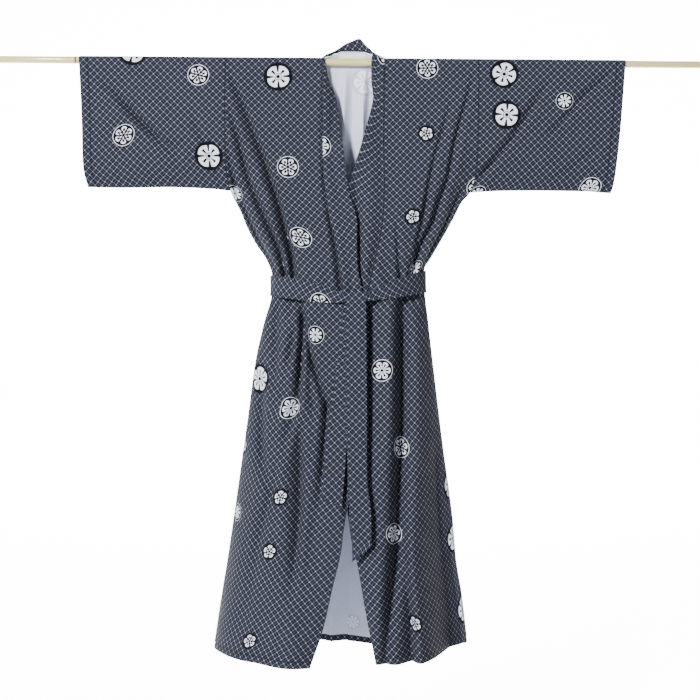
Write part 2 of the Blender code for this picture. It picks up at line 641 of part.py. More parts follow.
def collar_rows(half):
    """Rows of the collar band on one half, from its lower end to the middle back."""
    rows = []
    drops = [drop for drop in BODY_DROPS + COLLAR_DROPS if 0 < drop < COLLAR_END]
    for drop in sorted(drops, reverse=True):
        seam_x = float(read(half.edges, "seam_x", drop))
        free_x = float(read(half.edges, "free_x", drop))
        lift = float(read(half.edges, "lift", drop))
        share = np.linspace(0.0, 1.0, BAND_COLUMNS + 1)
        out = seam_x - COLLAR_GAP + (free_x - seam_x + COLLAR_GAP) * share
        y = -panel_depth(half, "front", out, drop) + lift * share ** 2
        height = -drop + hem_lift(half, "front", out, drop)
        rows.append(np.column_stack((out, y, height)))
    seam_x = float(read(half.edges, "seam_x", 0.0))
    for angle in (0.0,) + SHOULDER_ANGLES:
        along = QUARTER * (1 - angle / 90.0)
        turn = math.radians(angle)
        seam = np.array((seam_x, -HANG_RADIUS * math.cos(turn), HANG_RADIUS * math.sin(turn)))
        rows.append(band_row(half, seam, along))
    neck_seam = shoulder_row(half, panel_row(half, "back", 0.0), 90.0)[PANEL_COLUMNS + 1:]
    neck_seam[-1, 0] = 0.0
    for seam in neck_seam:
        rows.append(band_row(half, seam, -NECK_HALF * (1 - seam[0] / seam_x)))
    return rows


def band_row(half, seam, along):
    """A row of the collar band between its seam and its free edge at the neck."""
    free = np.array([float(read(half.neck, column, along)) for column in NECK_COLUMNS[1:]])
    across = free - seam
    start = seam + across / np.linalg.norm(across) * NECK_GAP
    share = np.linspace(0.0, 1.0, BAND_COLUMNS + 1)[:, None]
    return start + (free - start) * share


def make_collar(right, left, material):
    """Collar band: one strip up the right front, round the neck and down the left."""
    right_rows = [place(right, row) for row in collar_rows(right)]
    left_rows = [place(left, row) for row in collar_rows(left)]
    middle = np.array(right_rows + left_rows[-2::-1])
    normals = grid_normals(middle)
    lowest = np.argmin(middle[:, 0, 2])
    if normals[lowest, 1, 1] > 0:
        normals = -normals
    half_wall = BAND_WALL / 2 * MM
    make_wall("collar", material, middle + normals * half_wall, middle - normals * half_wall)


def belt_quarter(half, face):
    """Belt points on a quarter of the waist, side to middle, as inner and outer rows."""
    edges = named_columns(BELT_EDGES[(half.name, face)], BELT_COLUMNS)
    middle = half.sign * KNOT_MIDDLE if face == "front" else 0.0
    base = spread(section(half, face, BELT_LEVEL, middle, plain=True), BELT_QUARTER_STEPS)
    tangent = np.gradient(base, axis=0)
    normal = np.column_stack((-tangent[:, 1], tangent[:, 0]))
    normal /= np.linalg.norm(normal, axis=1)[:, None]
    if face == "front":
        normal *= -1 if normal[-1, 1] > 0 else 1
    else:
        normal *= -1 if normal[-1, 1] < 0 else 1
    normal[0] = (1.0, 0.0)
    normal[-1] = (0.0, -1.0 if face == "front" else 1.0)
    inner = []
    outer = []
    for index in range(BELT_QUARTER_STEPS + 1):
        share = index / BELT_QUARTER_STEPS
        top = float(read(edges, "top", share))
        low = float(read(edges, "low", share))
        knot = float(ease((share - KNOT_STARTS) / (KNOT_FULL - KNOT_STARTS))) if face == "front" else 0.0
        stand = BELT_STANDOFF + (KNOT_STANDOFF - BELT_STANDOFF) * knot
        wall = BELT_WALL + (KNOT_WALL - BELT_WALL) * knot
        inner_rows = []
        outer_rows = []
        for drop in (top, (top + low) / 2, low):
            out, y = belt_base(half, face, base[index], normal[index], drop)
            near = np.array((out, y)) + normal[index] * stand
            far = near + normal[index] * wall
            inner_rows.append((near[0], near[1], -drop))
            outer_rows.append((far[0], far[1], -drop))
        inner.append(inner_rows)
        outer.append(outer_rows)
    return np.array(inner), np.array(outer)


def belt_base(half, face, point, normal, drop):
    """A waist point moved to another drop, following how the cloth widens there."""
    side_step = float(read(half.sides, "side_x", drop) - read(half.sides, "side_x", BELT_LEVEL))
    depth_step = float(read(half.sides, face, drop) - read(half.sides, face, BELT_LEVEL))
    out = point[0] + side_step * max(normal[0], 0.0)
    facing = 1.0 if face == "back" else -1.0
    y = point[1] + facing * depth_step * abs(normal[1])
    return out, y


def make_belt(right, left, material):
    """Belt: a closed ring round the waist, drawn narrow where the knot holds it."""
    quarters = []
    for half, face, backwards in (
        (right, "front", True), (right, "back", False), (left, "back", True), (left, "front", False),
    ):
        inner, outer = belt_quarter(half, face)
        inner = place(half, inner)
        outer = place(half, outer)
        if backwards:
            inner = inner[::-1]
            outer = outer[::-1]
        quarters.append((inner, outer))
    inner = np.concatenate([quarter[0][:-1] for quarter in quarters] + [quarters[0][0][:1]])
    outer = np.concatenate([quarter[1][:-1] for quarter in quarters] + [quarters[0][1][:1]])
    columns_first = (1, 0, 2)
    make_wall("belt", material, outer.transpose(columns_first), inner.transpose(columns_first), joined=True)


def tail_rows(table, slant, front_depth):
    """Inner points of a hanging tail, with its lower end cut on a slant."""
    tail = named_columns(table, TAIL_COLUMNS)
    first = tail["drop"][0]
    last = tail["drop"][-1]
    rows = []
    for step in range(TAIL_ROWS + 1):
        drop = first + (last - first) * step / TAIL_ROWS
        left_x = float(read(tail, "left_x", drop))
        right_x = float(read(tail, "right_x", drop))
        stand = float(read(tail, "standoff", drop))
        row = []
        for split in range(TAIL_SPLITS + 1):
            share = split / TAIL_SPLITS
            lower = drop + slant * end_share(share, slant) * ease((step - TAIL_ROWS + SLANT_ROWS) / SLANT_ROWS)
            x = left_x + (right_x - left_x) * share
            row.append((x, -(front_depth(drop) + stand), -lower))
        rows.append(row)
    return np.array(rows)


def end_share(share, slant):
    """The front tail is longest on its left corner, the rear one on its right."""
    return 1 - share if slant == FRONT_TAIL_SLANT else share


def hook_rows(front_depth):
    """The front tail's start: it comes up behind the belt and turns over its top."""
    tail = named_columns(FRONT_TAIL, TAIL_COLUMNS)
    left_x = float(tail["left_x"][0])
    right_x = float(tail["right_x"][0])
    near = front_depth(HOOK_DROP) + HOOK_STANDOFF
    far = front_depth(HOOK_DROP) + float(tail["standoff"][0])
    centre = (near + TAIL_WALL + far) / 2
    inner_radius = (far - near - TAIL_WALL) / 2
    outer_radius = inner_radius + TAIL_WALL
    across = np.linspace(left_x, right_x, TAIL_SPLITS + 1)
    foot = front_depth(HOOK_DROP + HOOK_LEG) + HOOK_STANDOFF
    inner = [[(x, -(foot + TAIL_WALL), -(HOOK_DROP + HOOK_LEG)) for x in across]]
    outer = [[(x, -foot, -(HOOK_DROP + HOOK_LEG)) for x in across]]
    for angle in (0.0,) + HOOK_ANGLES:
        turn = math.radians(angle)
        for rows, radius in ((inner, inner_radius), (outer, outer_radius)):
            y = -(centre - radius * math.cos(turn))
            height = -HOOK_DROP + radius * math.sin(turn)
            rows.append([(x, y, height) for x in across])
    return np.array(inner), np.array(outer)


def make_tails(right, material):
    """Both tails of the belt: the front one hooks over the belt, the rear hangs under."""
    def front_depth(drop):
        return float(read(right.sides, "front", drop))

    outward = np.array((0.0, -TAIL_WALL, 0.0))
    rear = tail_rows(REAR_TAIL, REAR_TAIL_SLANT, front_depth)
    make_wall("belt_tail_rear", material, (rear + outward) * MM, rear * MM)
    hook_inner, hook_outer = hook_rows(front_depth)
    hang = tail_rows(FRONT_TAIL, FRONT_TAIL_SLANT, front_depth)
    inner = np.concatenate((hook_inner, hang))
    outer = np.concatenate((hook_outer, hang + outward))
    make_wall("belt_tail_front", material, outer * MM, inner * MM)


def make_label(material):
    """Plain label on the inside of the back, under the collar."""
    rows = []
    low, high = LABEL_HEIGHTS
    for height in (low, high):
        row = []
        for step in range(LABEL_STEPS + 1):
            x = LABEL_HALF * (2 * step / LABEL_STEPS - 1)
            top_y, top_height = neckline(x)
            y = HANG_RADIUS + (top_y - HANG_RADIUS) * height / top_height
            row.append((x, y - WALL - LABEL_GAP, height))
        rows.append(row)
    back = np.array(rows)
    front = back - np.array((0.0, LABEL_WALL, 0.0))
    make_wall("neck_label", material, front * MM, back * MM)


def make_rod(material):
    """Bamboo rod: a turned length with its joints standing slightly proud."""
    profile = [(-ROD_LENGTH / 2, 0.0), (-ROD_LENGTH / 2, ROD_RADIUS)]
    for joint in ROD_JOINTS:
        profile.append((joint - ROD_JOINT_REACH, ROD_RADIUS))
        profile.append((joint - ROD_JOINT_REACH / 4, ROD_RADIUS + joint_rise(joint)))
        profile.append((joint + ROD_JOINT_REACH / 4, ROD_RADIUS + joint_rise(joint)))
        profile.append((joint + ROD_JOINT_REACH, ROD_RADIUS))
    profile.append((ROD_LENGTH / 2, ROD_RADIUS))
    profile.append((ROD_LENGTH / 2, 0.0))
    bm = bmesh.new()
    vertices = [bm.verts.new((x * MM, 0.0, z * MM)) for x, z in profile]
    edges = [bm.edges.new(pair) for pair in zip(vertices, vertices[1:])]
    bmesh.ops.spin(
        bm, geom=vertices + edges, cent=(0, 0, 0), axis=(1, 0, 0), dvec=(0, 0, 0),
        angle=2 * math.pi, steps=ROD_SIDES, use_merge=True,
    )
    bmesh.ops.remove_doubles(bm, verts=bm.verts[:], dist=1e-6)
    bmesh.ops.recalc_face_normals(bm, faces=bm.faces[:])
    finish_object("rod", material, bm)


def joint_rise(joint):
    """Joints under the cloth are planed flush, so the robe hangs flat over them."""
    return ROD_JOINT_RISE if abs(joint) > RIGHT_CUFF[0][1] else 0.0


def make_material(name, colour, roughness):
    """Principled material of one finish."""
    material = bpy.data.materials.new(name)
    material.use_nodes = True
    shader = material.node_tree.nodes["Principled BSDF"]
    shader.inputs["Base Color"].default_value = colour
    shader.inputs["Roughness"].default_value = roughness
    material.diffuse_color = colour
    return material


def main():
    for thing in list(bpy.data.objects):
        bpy.data.objects.remove(thing, do_unlink=True)
    bpy.context.scene.collection.children.link(bpy.data.collections.new(COLLECTION))
    right = Half(
        "right", -1.0, RIGHT_SIDE, RIGHT_EDGE, ((0, 0), (HEM, 0)), RIGHT_NECK, RIGHT_CUFF, RIGHT_LOWER,
        {"front": RIGHT_FRONT_FOLDS, "back": RIGHT_BACK_FOLDS, "sleeve": RIGHT_SLEEVE_FOLDS},
    )
    left = Half(
        "left", 1.0, LEFT_SIDE, LEFT_EDGE, LEFT_TUCK, LEFT_NECK, LEFT_CUFF, LEFT_LOWER,
        {"front": LEFT_FRONT_FOLDS, "back": LEFT_BACK_FOLDS, "sleeve": LEFT_SLEEVE_FOLDS},
    )
    for half in (right, left):
        cotton = make_material("cotton_" + half.name, COTTON, 0.85)
        make_body_half(half, cotton)
        make_sleeve(half, make_material("sleeve_cotton_" + half.name, COTTON, 0.85))
    make_collar(right, left, make_material("collar_cotton", COTTON_BAND, 0.85))
    belt_cotton = make_material("belt_cotton", COTTON_BAND, 0.85)
    make_belt(right, left, belt_cotton)
    make_tails(right, belt_cotton)
    make_label(make_material("label_tape", LABEL_WHITE, 0.7))
    make_rod(make_material("bamboo", BAMBOO, 0.45))


main()
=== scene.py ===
"""Looks of the cotton yukata robe on its bamboo rod.

Each sewn piece is a thin printed shell on the form of its solid. The shells are worked
out from the same tables as the solids, on a finer grid and with the cloth's smaller
creases. Sizes are in millimetres until a point is placed, where MM turns them to
metres. "drop" is a height below the rod's axis, and "out" is a distance from the
robe's middle towards the half's own side.
"""
import math

import bmesh
import bpy
import numpy as np
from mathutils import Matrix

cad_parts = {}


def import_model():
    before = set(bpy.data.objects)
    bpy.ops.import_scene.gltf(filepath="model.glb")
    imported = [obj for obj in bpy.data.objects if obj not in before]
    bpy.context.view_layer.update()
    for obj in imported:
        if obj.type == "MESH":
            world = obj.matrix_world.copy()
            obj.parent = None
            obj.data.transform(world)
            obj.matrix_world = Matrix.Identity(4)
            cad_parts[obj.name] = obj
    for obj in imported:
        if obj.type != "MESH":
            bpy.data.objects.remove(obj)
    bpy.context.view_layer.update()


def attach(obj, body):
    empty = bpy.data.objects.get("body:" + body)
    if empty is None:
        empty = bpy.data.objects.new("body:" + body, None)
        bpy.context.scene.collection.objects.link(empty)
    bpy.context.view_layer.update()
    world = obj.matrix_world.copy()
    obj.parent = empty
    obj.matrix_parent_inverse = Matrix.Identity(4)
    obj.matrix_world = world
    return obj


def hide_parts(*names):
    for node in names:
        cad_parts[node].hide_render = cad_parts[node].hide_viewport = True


MM = 0.001

# Camera
LENS = 65.0
SENSOR = 36.0
CAMERA_AT = (0.0, -3.0, -0.683)
CAMERA_ROLL = -0.44

# Rod
ROD_RADIUS = 8.5
ROD_LENGTH = 1800.0
ROD_SIDES = 48
ROD_JOINTS = (-655.0, -290.0, 110.0, 480.0)

# Cloth: the solids' wall, the shown cloth and the collar's doubled cloth, the gaps where
# pieces are sewn together, and how the cloth lies over the rod
WALL = 1.2
CLOTH = 0.7
BAND_CLOTH = 1.8
SEAM_GAP = 0.02
COLLAR_GAP = 0.35
NECK_GAP = 0.5
ROD_CLEARANCE = 0.5
HANG_RADIUS = ROD_RADIUS + ROD_CLEARANCE + WALL
QUARTER = HANG_RADIUS * math.pi / 2
# Drops of the underarm, the collar's lower end and the hem, and how deep its turn is
UNDERARM = 309.0
COLLAR_END = 950.0
HEM = 1411.0
HEM_TURN = 16.0
# Past this distance a point is on plain cloth, away from any seam
NO_SEAM = 60.0
# Back of the neck: half its width, how far it stands up and back, and how wide it curves
NECK_HALF = 74.0
NECKLINE_RISE = 18.0
NECKLINE_BACK = 16.0
NECK_CURVE = 56.0

# Grid of a body half: its rows, its columns on the panel and on the strip beyond the
# collar's seam, and how its fine sections crowd towards the side, where the cloth turns
ROW_STEP = 8.0
LEAST_STEP = 1.0
HEM_ROWS = 4
PANEL_COLUMNS = 104
STRIP_COLUMNS = 20
DENSE = 420
CROWDING = 0.75 * math.pi / 2
SHOULDER_ANGLES = tuple(range(15, 91, 15))
ROD_ANGLES = tuple(range(15, 180, 15))
# A column well inside the shoulder, where the cloth's normals point up
SHOULDER_COLUMN = 3


def body_drops():
    """Heights of the rows of a body half, with a row on each side of the collar's end."""
    above = np.arange(0.0, COLLAR_END - ROW_STEP, ROW_STEP)
    below = np.arange(COLLAR_END + ROW_STEP, HEM - HEM_TURN - LEAST_STEP, ROW_STEP)
    turned = np.linspace(HEM - HEM_TURN, HEM, HEM_ROWS + 1)
    split = (COLLAR_END - COLLAR_GAP, COLLAR_END + COLLAR_GAP)
    return tuple(float(drop) for drop in np.concatenate((above, split, below, turned)))


BODY_DROPS = body_drops()
# The row that lies on top of the rod, and the rows behind it
TOP_ROW = len(BODY_DROPS) + len(SHOULDER_ANGLES) - 1
BEHIND = slice(0, TOP_ROW + 1)
# Which way along y each face of the robe looks
FACING = {"front": -1.0, "back": 1.0}

# How much of a fold's own length the print takes up, against running straight past it
PRINT_IN_FOLDS = 0.35
# How far along the printed cloth each piece after the first was cut, in millimetres
LEFT_PRINT_SHIFT = 744.0
SLEEVE_PRINT_SHIFT = 229.0
COLLAR_PRINT_SHIFT = 700.0
BELT_PRINT_SHIFT = 400.0
TAIL_PRINT_SHIFTS = {"front": 360.0, "rear": 570.0}

# Meshes: points closer than this are one, in metres, and edges past this angle are sharp
WELD = 1e-6
SHARP_ANGLE = 50.0

# Between this far above the underarm and this much lower, the panel's side changes from
# the sleeve's mouth to the side seam, and a point this near to the seam lies on it
MOUTH_ABOVE = 12.0
MOUTH_OVER = 50.0
ON_SEAM = 0.5

# Where the cloth hangs at each drop. side_x is the armhole seam and then the side
# seam, side_y how far it hangs behind the rod's plane, front and back how far the
# panels stand from that plane, roll the width over which they turn in to the side
# seam, and curl how round that turn is (1 is a straight slope).
SIDE_COLUMNS = ("drop", "side_x", "side_y", "front", "back", "roll", "curl")
RIGHT_SIDE = (
    (0, 300, 0, 10.2, 10.2, 90, 1.0),
    (150, 299, 0, 26, 22, 90, 1.0),
    (250, 296, 0, 36, 30, 95, 1.0),
    (309, 286, 0, 42, 36, 100, 1.15),
    (353, 264, 0, 49, 43, 110, 1.45),
    (398, 245, 0, 57, 50, 115, 1.7),
    (437, 223, 0, 62, 55, 120, 1.85),
    (469, 201, 0, 66, 58, 120, 2.0),
    (505, 187, 0, 71, 61, 120, 2.0),
    (540, 186, 0, 73, 62, 120, 2.0),
    (628, 207, 4, 81, 66, 130, 2.0),
    (706, 224, 8, 88, 72, 140, 1.9),
    (833, 241, 14, 97, 82, 150, 1.85),
    (987, 262, 24, 106, 95, 165, 1.8),
    (1189, 290, 38, 117, 110, 185, 1.75),
    (1294, 306, 45, 122, 117, 195, 1.7),
    (1411, 322, 50, 127, 122, 205, 1.7),
)
LEFT_SIDE = (
    (0, 300, 0, 10.2, 10.2, 90, 1.0),
    (150, 299, 0, 26, 22, 90, 1.0),
    (250, 296, 0, 36, 30, 95, 1.0),
    (309, 282, 0, 42, 36, 100, 1.15),
    (327, 265, 0, 45, 39, 105, 1.3),
    (368, 244, 0, 51, 44, 110, 1.5),
    (423, 214, 0, 59, 52, 118, 1.8),
    (463, 191, 0, 65, 57, 120, 2.0),
    (492, 175, 0, 69, 60, 120, 2.0),
    (534, 176, 0, 72, 62, 120, 2.0),
    (610, 185, 3, 79, 65, 125, 2.0),
    (744, 202, 10, 89, 74, 135, 1.95),
    (906, 224, 30, 98, 85, 150, 1.85),
    (1096, 252, 58, 104, 102, 160, 1.8),
    (1197, 262, 75, 107, 112, 160, 1.8),
    (1294, 278, 88, 110, 122, 160, 1.8),
    (1411, 292, 98, 113, 133, 160, 1.8),
)

# Front edges: seam_x is where the collar band is sewn on, free_x the open edge, and
# lift how far the free edge turns in from the line of the panel
EDGE_COLUMNS = ("drop", "seam_x", "free_x", "lift")
RIGHT_EDGE = (
    (0, 71, 64, 0), (45, 71, 55, 8), (78, 71, 40, 13), (126, 70, 30, 12),
    (184, 69, 23, 5), (217, 68, 18, 0), (260, 67, 13, 0), (293, 65, 8, 0),
    (322, 59, 3, 0), (352, 55, -7, 0), (383, 50, -14, 0), (425, 38, -14, 0),
    (491, 26, -16, 0), (535, 19, -25, 0), (600, 15, -32, 0), (750, 14, -33, 0),
    (850, 22, -30, 0), (950, 38, -18, 0), (1020, 54, -2, 0), (1097, 67, 11, 0),
    (1147, 74, 17, 0), (1221, 90, 34, 0), (1324, 112, 57, 0), (1411, 142, 86, 0),
)
LEFT_EDGE = (
    (0, 77, 45, 0), (45, 77, 45, 0), (87, 77, 50, 0), (113, 76.5, 45, 0),
    (142, 76, 38, 0), (166, 76, 31, 0), (202, 76, 22, 0), (247, 77, 8, 0),
    (285, 78, -3, 0), (330, 77, -10, 0), (369, 75, -14, 0), (414, 69, -16, 0),
    (457, 60, -16, 0), (502, 50, -17, 0), (535, 43, -20, 0), (600, 34, -30, 0),
    (750, 30, -30, 0), (850, 30, -24, 0), (950, 38, -16, 0), (1020, 50, -7, 0),
    (1103, 60, 3, 0), (1185, 78, 22, 0), (1276, 94, 38, 0), (1411, 121, 65, 0),
)

# The left front lies under the right one, this far behind it near the middle
TUCK_COLUMNS = ("drop", "tuck")
LEFT_TUCK = ((0, 0), (225, 0), (275, 5), (1060, 5), (1130, 0), (1411, 0))
NO_TUCK = ((0, 0), (HEM, 0))
TUCK_FROM = 52.0
TUCK_OVER = 26.0

# Folds, each a soft valley: its stations give where it lies, how deep it is, and
# its half width towards the middle and towards the side
FOLD_COLUMNS = ("drop", "out", "depth", "inner", "outer")
RIGHT_FRONT_FOLDS = {
    "breast_crease": (
        (30, 290, 3, 5, 8), (92, 261, 15, 5, 11), (152, 237, 20, 5, 12), (224, 209, 24, 5, 12),
        (277, 191, 28, 5, 12), (349, 167, 32, 5, 12), (403, 153, 35, 5, 12),
        (472, 135, 36, 5, 12), (520, 131, 34, 5, 13), (565, 128, 0, 6, 13),
    ),
    "underarm_crease": (
        (96, 297, 0, 5, 7), (152, 277, 10, 5, 8), (206, 262, 16, 5, 8), (266, 246, 18, 5, 9),
        (313, 229, 23, 5, 9), (359, 209, 27, 5, 10), (410, 185, 30, 5, 10),
        (456, 165, 32, 5, 10), (515, 153, 30, 5, 11), (560, 148, 0, 6, 10),
    ),
    "side_crease": (
        (150, 299, 0, 4, 6), (183, 296, 7, 4, 6), (253, 286, 11, 5, 7), (297, 274, 15, 5, 7),
        (366, 247, 18, 5, 7), (430, 216, 18, 5, 7), (490, 182, 13, 5, 8), (530, 176, 0, 5, 8),
    ),
    "lapel_seam": (
        (60, 74, 0, 5, 3), (140, 73, 3, 6, 3), (217, 71, 4, 6, 3), (322, 62, 5, 6, 4),
        (400, 46, 10, 7, 5), (440, 37, 13, 6, 6), (500, 27, 12, 5, 7), (545, 22, 9, 5, 7),
        (575, 18, 0, 5, 7),
    ),
    "lapel_dip": (
        (80, 44, 0, 9, 9), (140, 46, 4, 10, 8), (200, 47, 3, 10, 8), (300, 34, 2, 9, 9),
        (370, 18, 0, 8, 9),
    ),
    "pouch": (
        (528, 138, 0, 18, 18), (560, 138, 22, 18, 20), (578, 142, 15, 18, 18),
        (612, 140, 0, 18, 16),
    ),
    "pouch_side": (
        (560, 170, 0, 8, 11), (600, 172, 18, 8, 13), (658, 173, 21, 8, 15),
        (710, 173, 19, 8, 20), (752, 176, 13, 8, 20), (785, 180, 0, 8, 16),
    ),
    "pouch_lip": (
        (752, 160, 0, 26, 18), (784, 158, 12, 26, 18), (806, 152, 0, 24, 18),
    ),
    "pouch_short": (
        (620, 128, 0, 5, 7), (652, 131, 12, 5, 8), (690, 138, 13, 5, 8), (735, 150, 0, 5, 7),
    ),
    "branch_inner": (
        (552, 118, 0, 6, 8), (584, 112, 22, 6, 9), (619, 105, 27, 6, 9), (660, 97, 28, 6, 10),
        (706, 87, 28, 6, 10), (745, 76, 24, 7, 10), (775, 64, 18, 7, 9), (812, 52, 12, 7, 9),
        (850, 50, 0, 7, 9),
    ),
    "branch_middle": (
        (725, 97, 0, 6, 8), (765, 91, 12, 6, 9), (805, 85, 11, 7, 10), (850, 80, 0, 7, 9),
    ),
    "branch_outer": (
        (596, 112, 0, 6, 7), (642, 112, 20, 6, 8), (684, 112, 28, 6, 8), (729, 114, 30, 6, 9),
        (770, 117, 28, 6, 11), (812, 122, 25, 7, 14), (850, 133, 17, 7, 14),
        (900, 149, 9, 8, 12), (950, 156, 0, 8, 10),
    ),
    "beside_tail": (
        (790, 50, 0, 7, 8), (826, 52, 14, 7, 8), (890, 56, 18, 7, 9), (947, 60, 18, 7, 9),
        (993, 64, 12, 8, 9), (1034, 67, 5, 9, 9), (1085, 70, 0, 9, 9),
    ),
    "between_tails": (
        (850, 6, 0, 7, 7), (930, 7, 10, 7, 7), (1000, 7, 13, 7, 7), (1050, 5, 9, 6, 7),
        (1110, 6, 0, 6, 7),
    ),
    "flank": (
        (680, 201, 0, 10, 12), (754, 205, 18, 8, 14), (847, 206, 27, 7, 14),
        (920, 203, 28, 7, 14), (970, 197, 17, 8, 14), (1020, 184, 0, 10, 14),
    ),
    "hip_line": (
        (930, 168, 0, 10, 14), (987, 174, 14, 8, 15), (1058, 190, 18, 8, 16),
        (1117, 205, 18, 8, 17), (1197, 220, 15, 9, 18), (1277, 235, 11, 11, 19),
        (1390, 255, 0, 14, 20),
    ),
    "thigh": (
        (850, 114, 0, 8, 16), (890, 113, 22, 7, 18), (961, 112, 35, 7, 21),
        (1028, 112, 36, 7, 21), (1100, 116, 32, 8, 20), (1163, 122, 26, 9, 19),
        (1230, 128, 12, 11, 20), (1290, 132, 0, 12, 22),
    ),
    "knee_soft": (
        (1010, 70, 0, 16, 16), (1130, 84, 5, 18, 18), (1260, 104, 4, 20, 20),
        (1380, 120, 0, 20, 20),
    ),
    "hem_wave": (
        (1080, 196, 0, 30, 28), (1250, 204, 6, 32, 30), (1411, 210, 12, 34, 32),
    ),
    "edge_turn": (
        (1120, 0, 0, 30, 30), (1290, 34, 7, 34, 34), (1411, 62, 17, 36, 36),
    ),
}
LEFT_FRONT_FOLDS = {
    "breast_crease": (
        (30, 288, 2, 5, 8), (95, 270, 8, 5, 8), (148, 255, 10, 5, 8), (195, 243, 11, 5, 9),
        (267, 229, 12, 5, 9), (321, 210, 14, 5, 9), (374, 193, 16, 5, 10),
        (416, 173, 19, 5, 10), (468, 152, 21, 5, 10), (520, 138, 21, 5, 11),
        (562, 130, 0, 6, 11),
    ),
    "chest_crease": (
        (80, 238, 0, 5, 7), (174, 212, 8, 5, 7), (235, 195, 9, 5, 7), (293, 183, 11, 5, 7),
        (356, 172, 12, 5, 7), (410, 161, 11, 5, 7), (468, 147, 7, 5, 7), (510, 138, 0, 5, 7),
    ),
    "side_crease": (
        (290, 268, 0, 4, 6), (340, 243, 9, 4, 6), (400, 215, 12, 5, 7), (470, 178, 10, 5, 7),
        (515, 163, 0, 5, 7),
    ),
    "belt_pinch": (
        (375, 105, 0, 4, 5), (396, 107, 4, 4, 5), (470, 112, 9, 4, 6), (520, 117, 10, 5, 6),
        (558, 118, 0, 5, 6),
    ),
    "lapel_seam": (
        (70, 76, 0, 12, 3), (140, 73, 4, 16, 3), (225, 73, 6, 17, 3), (330, 74, 7, 17, 3),
        (414, 66, 8, 13, 4), (457, 57, 9, 10, 5), (502, 46, 10, 8, 6), (540, 40, 8, 8, 6),
        (575, 36, 0, 8, 6),
    ),
    "under_lapel": (
        (250, 6, 0, 6, 8), (300, 9, 7, 7, 9), (357, 15, 13, 8, 9), (437, 17, 16, 9, 9),
        (500, 21, 12, 9, 9), (560, 26, 0, 9, 9),
    ),
    "deep_pleat": (
        (536, 122, 0, 13, 15), (566, 122, 28, 13, 16), (670, 122, 44, 13, 17),
        (850, 121, 50, 13, 19), (980, 117, 52, 14, 20), (1080, 114, 50, 15, 20),
        (1163, 110, 46, 15, 19), (1243, 102, 38, 14, 17), (1330, 94, 30, 13, 15),
        (1411, 88, 22, 13, 14),
    ),
    "pleat_floor": (
        (1060, 128, 0, 14, 8), (1163, 131, 22, 22, 8), (1243, 138, 38, 30, 9),
        (1330, 146, 47, 38, 9), (1411, 150, 48, 42, 10),
    ),
    "hip_slit": (
        (534, 148, 0, 12, 14), (558, 150, 14, 14, 15), (582, 150, 4, 12, 12),
        (606, 150, 0, 12, 12),
    ),
    "tail_valley": (
        (545, 39, 0, 8, 24), (578, 41, 22, 8, 26), (700, 42, 24, 8, 26), (800, 43, 22, 8, 24),
        (900, 44, 16, 8, 18), (985, 46, 11, 7, 13), (1061, 53, 8, 7, 11), (1140, 58, 0, 7, 10),
    ),
    "flank": (
        (800, 202, 0, 30, 30), (950, 208, 16, 38, 34), (1080, 216, 34, 44, 36),
        (1190, 226, 48, 46, 38), (1300, 238, 66, 48, 40), (1411, 246, 84, 50, 42),
    ),
    "flank_crease": (
        (860, 196, 0, 7, 9), (960, 205, 7, 7, 9), (1080, 214, 8, 8, 10), (1200, 222, 5, 8, 10),
        (1320, 228, 0, 9, 10),
    ),
    "under_tails": (
        (830, -5, 0, 9, 9), (930, -7, 11, 9, 9), (1000, -7, 14, 9, 9), (1050, -5, 10, 9, 9),
        (1120, -6, 0, 9, 9),
    ),
    "edge_turn": (
        (1090, 0, 0, 26, 26), (1200, 14, 14, 28, 26), (1411, 48, 34, 32, 28),
    ),
}
RIGHT_BACK_FOLDS = {
    "neck_fold": (
        (14, 14, 0, 8, 10), (40, 15, 7, 7, 11), (130, 18, 13, 8, 12), (230, 22, 9, 8, 12),
        (330, 26, 0, 9, 12),
    ),
    "neck_side": (
        (24, 48, 0, 7, 9), (60, 47, 5, 7, 10), (150, 45, 6, 7, 10), (240, 44, 0, 7, 9),
    ),
    "hem_inner": (
        (1000, 34, 0, 12, 9), (1180, 38, 9, 14, 9), (1411, 42, 14, 16, 10),
    ),
    "blade_crease": (
        (60, 284, 0, 5, 8), (120, 264, 4, 5, 8), (230, 234, 7, 5, 9), (320, 206, 9, 5, 9),
        (420, 168, 12, 5, 10), (512, 138, 14, 6, 10), (552, 136, 0, 6, 10),
    ),
    "underarm_crease": (
        (150, 290, 0, 5, 7), (250, 262, 5, 5, 7), (360, 216, 8, 5, 8), (470, 168, 9, 5, 8),
        (530, 150, 0, 5, 8),
    ),
    "spine_crease": (
        (270, 76, 0, 6, 8), (360, 70, 4, 6, 8), (440, 66, 8, 6, 8), (515, 62, 10, 7, 8),
        (552, 62, 0, 7, 8),
    ),
    "middle_crease": (
        (340, 26, 0, 5, 6), (430, 24, 4, 5, 6), (505, 22, 6, 5, 6), (548, 22, 0, 5, 6),
    ),
    "seat_crease": (
        (545, 96, 0, 8, 10), (585, 98, 12, 8, 10), (680, 104, 11, 9, 12), (800, 114, 8, 12, 15),
        (980, 128, 0, 16, 18),
    ),
    "seat_inner": (
        (545, 40, 0, 6, 8), (580, 40, 8, 6, 8), (700, 46, 7, 8, 10), (860, 56, 0, 10, 12),
    ),
    "hip_crease": (
        (550, 150, 0, 7, 9), (590, 153, 9, 7, 9), (690, 166, 8, 8, 10), (840, 182, 0, 10, 12),
    ),
    "hem_wave": (
        (820, 150, 0, 34, 34), (1150, 172, 14, 40, 40), (1411, 186, 24, 44, 44),
    ),
    "hem_fold": (
        (980, 82, 0, 16, 18), (1180, 92, 9, 18, 20), (1411, 104, 14, 20, 22),
    ),
}
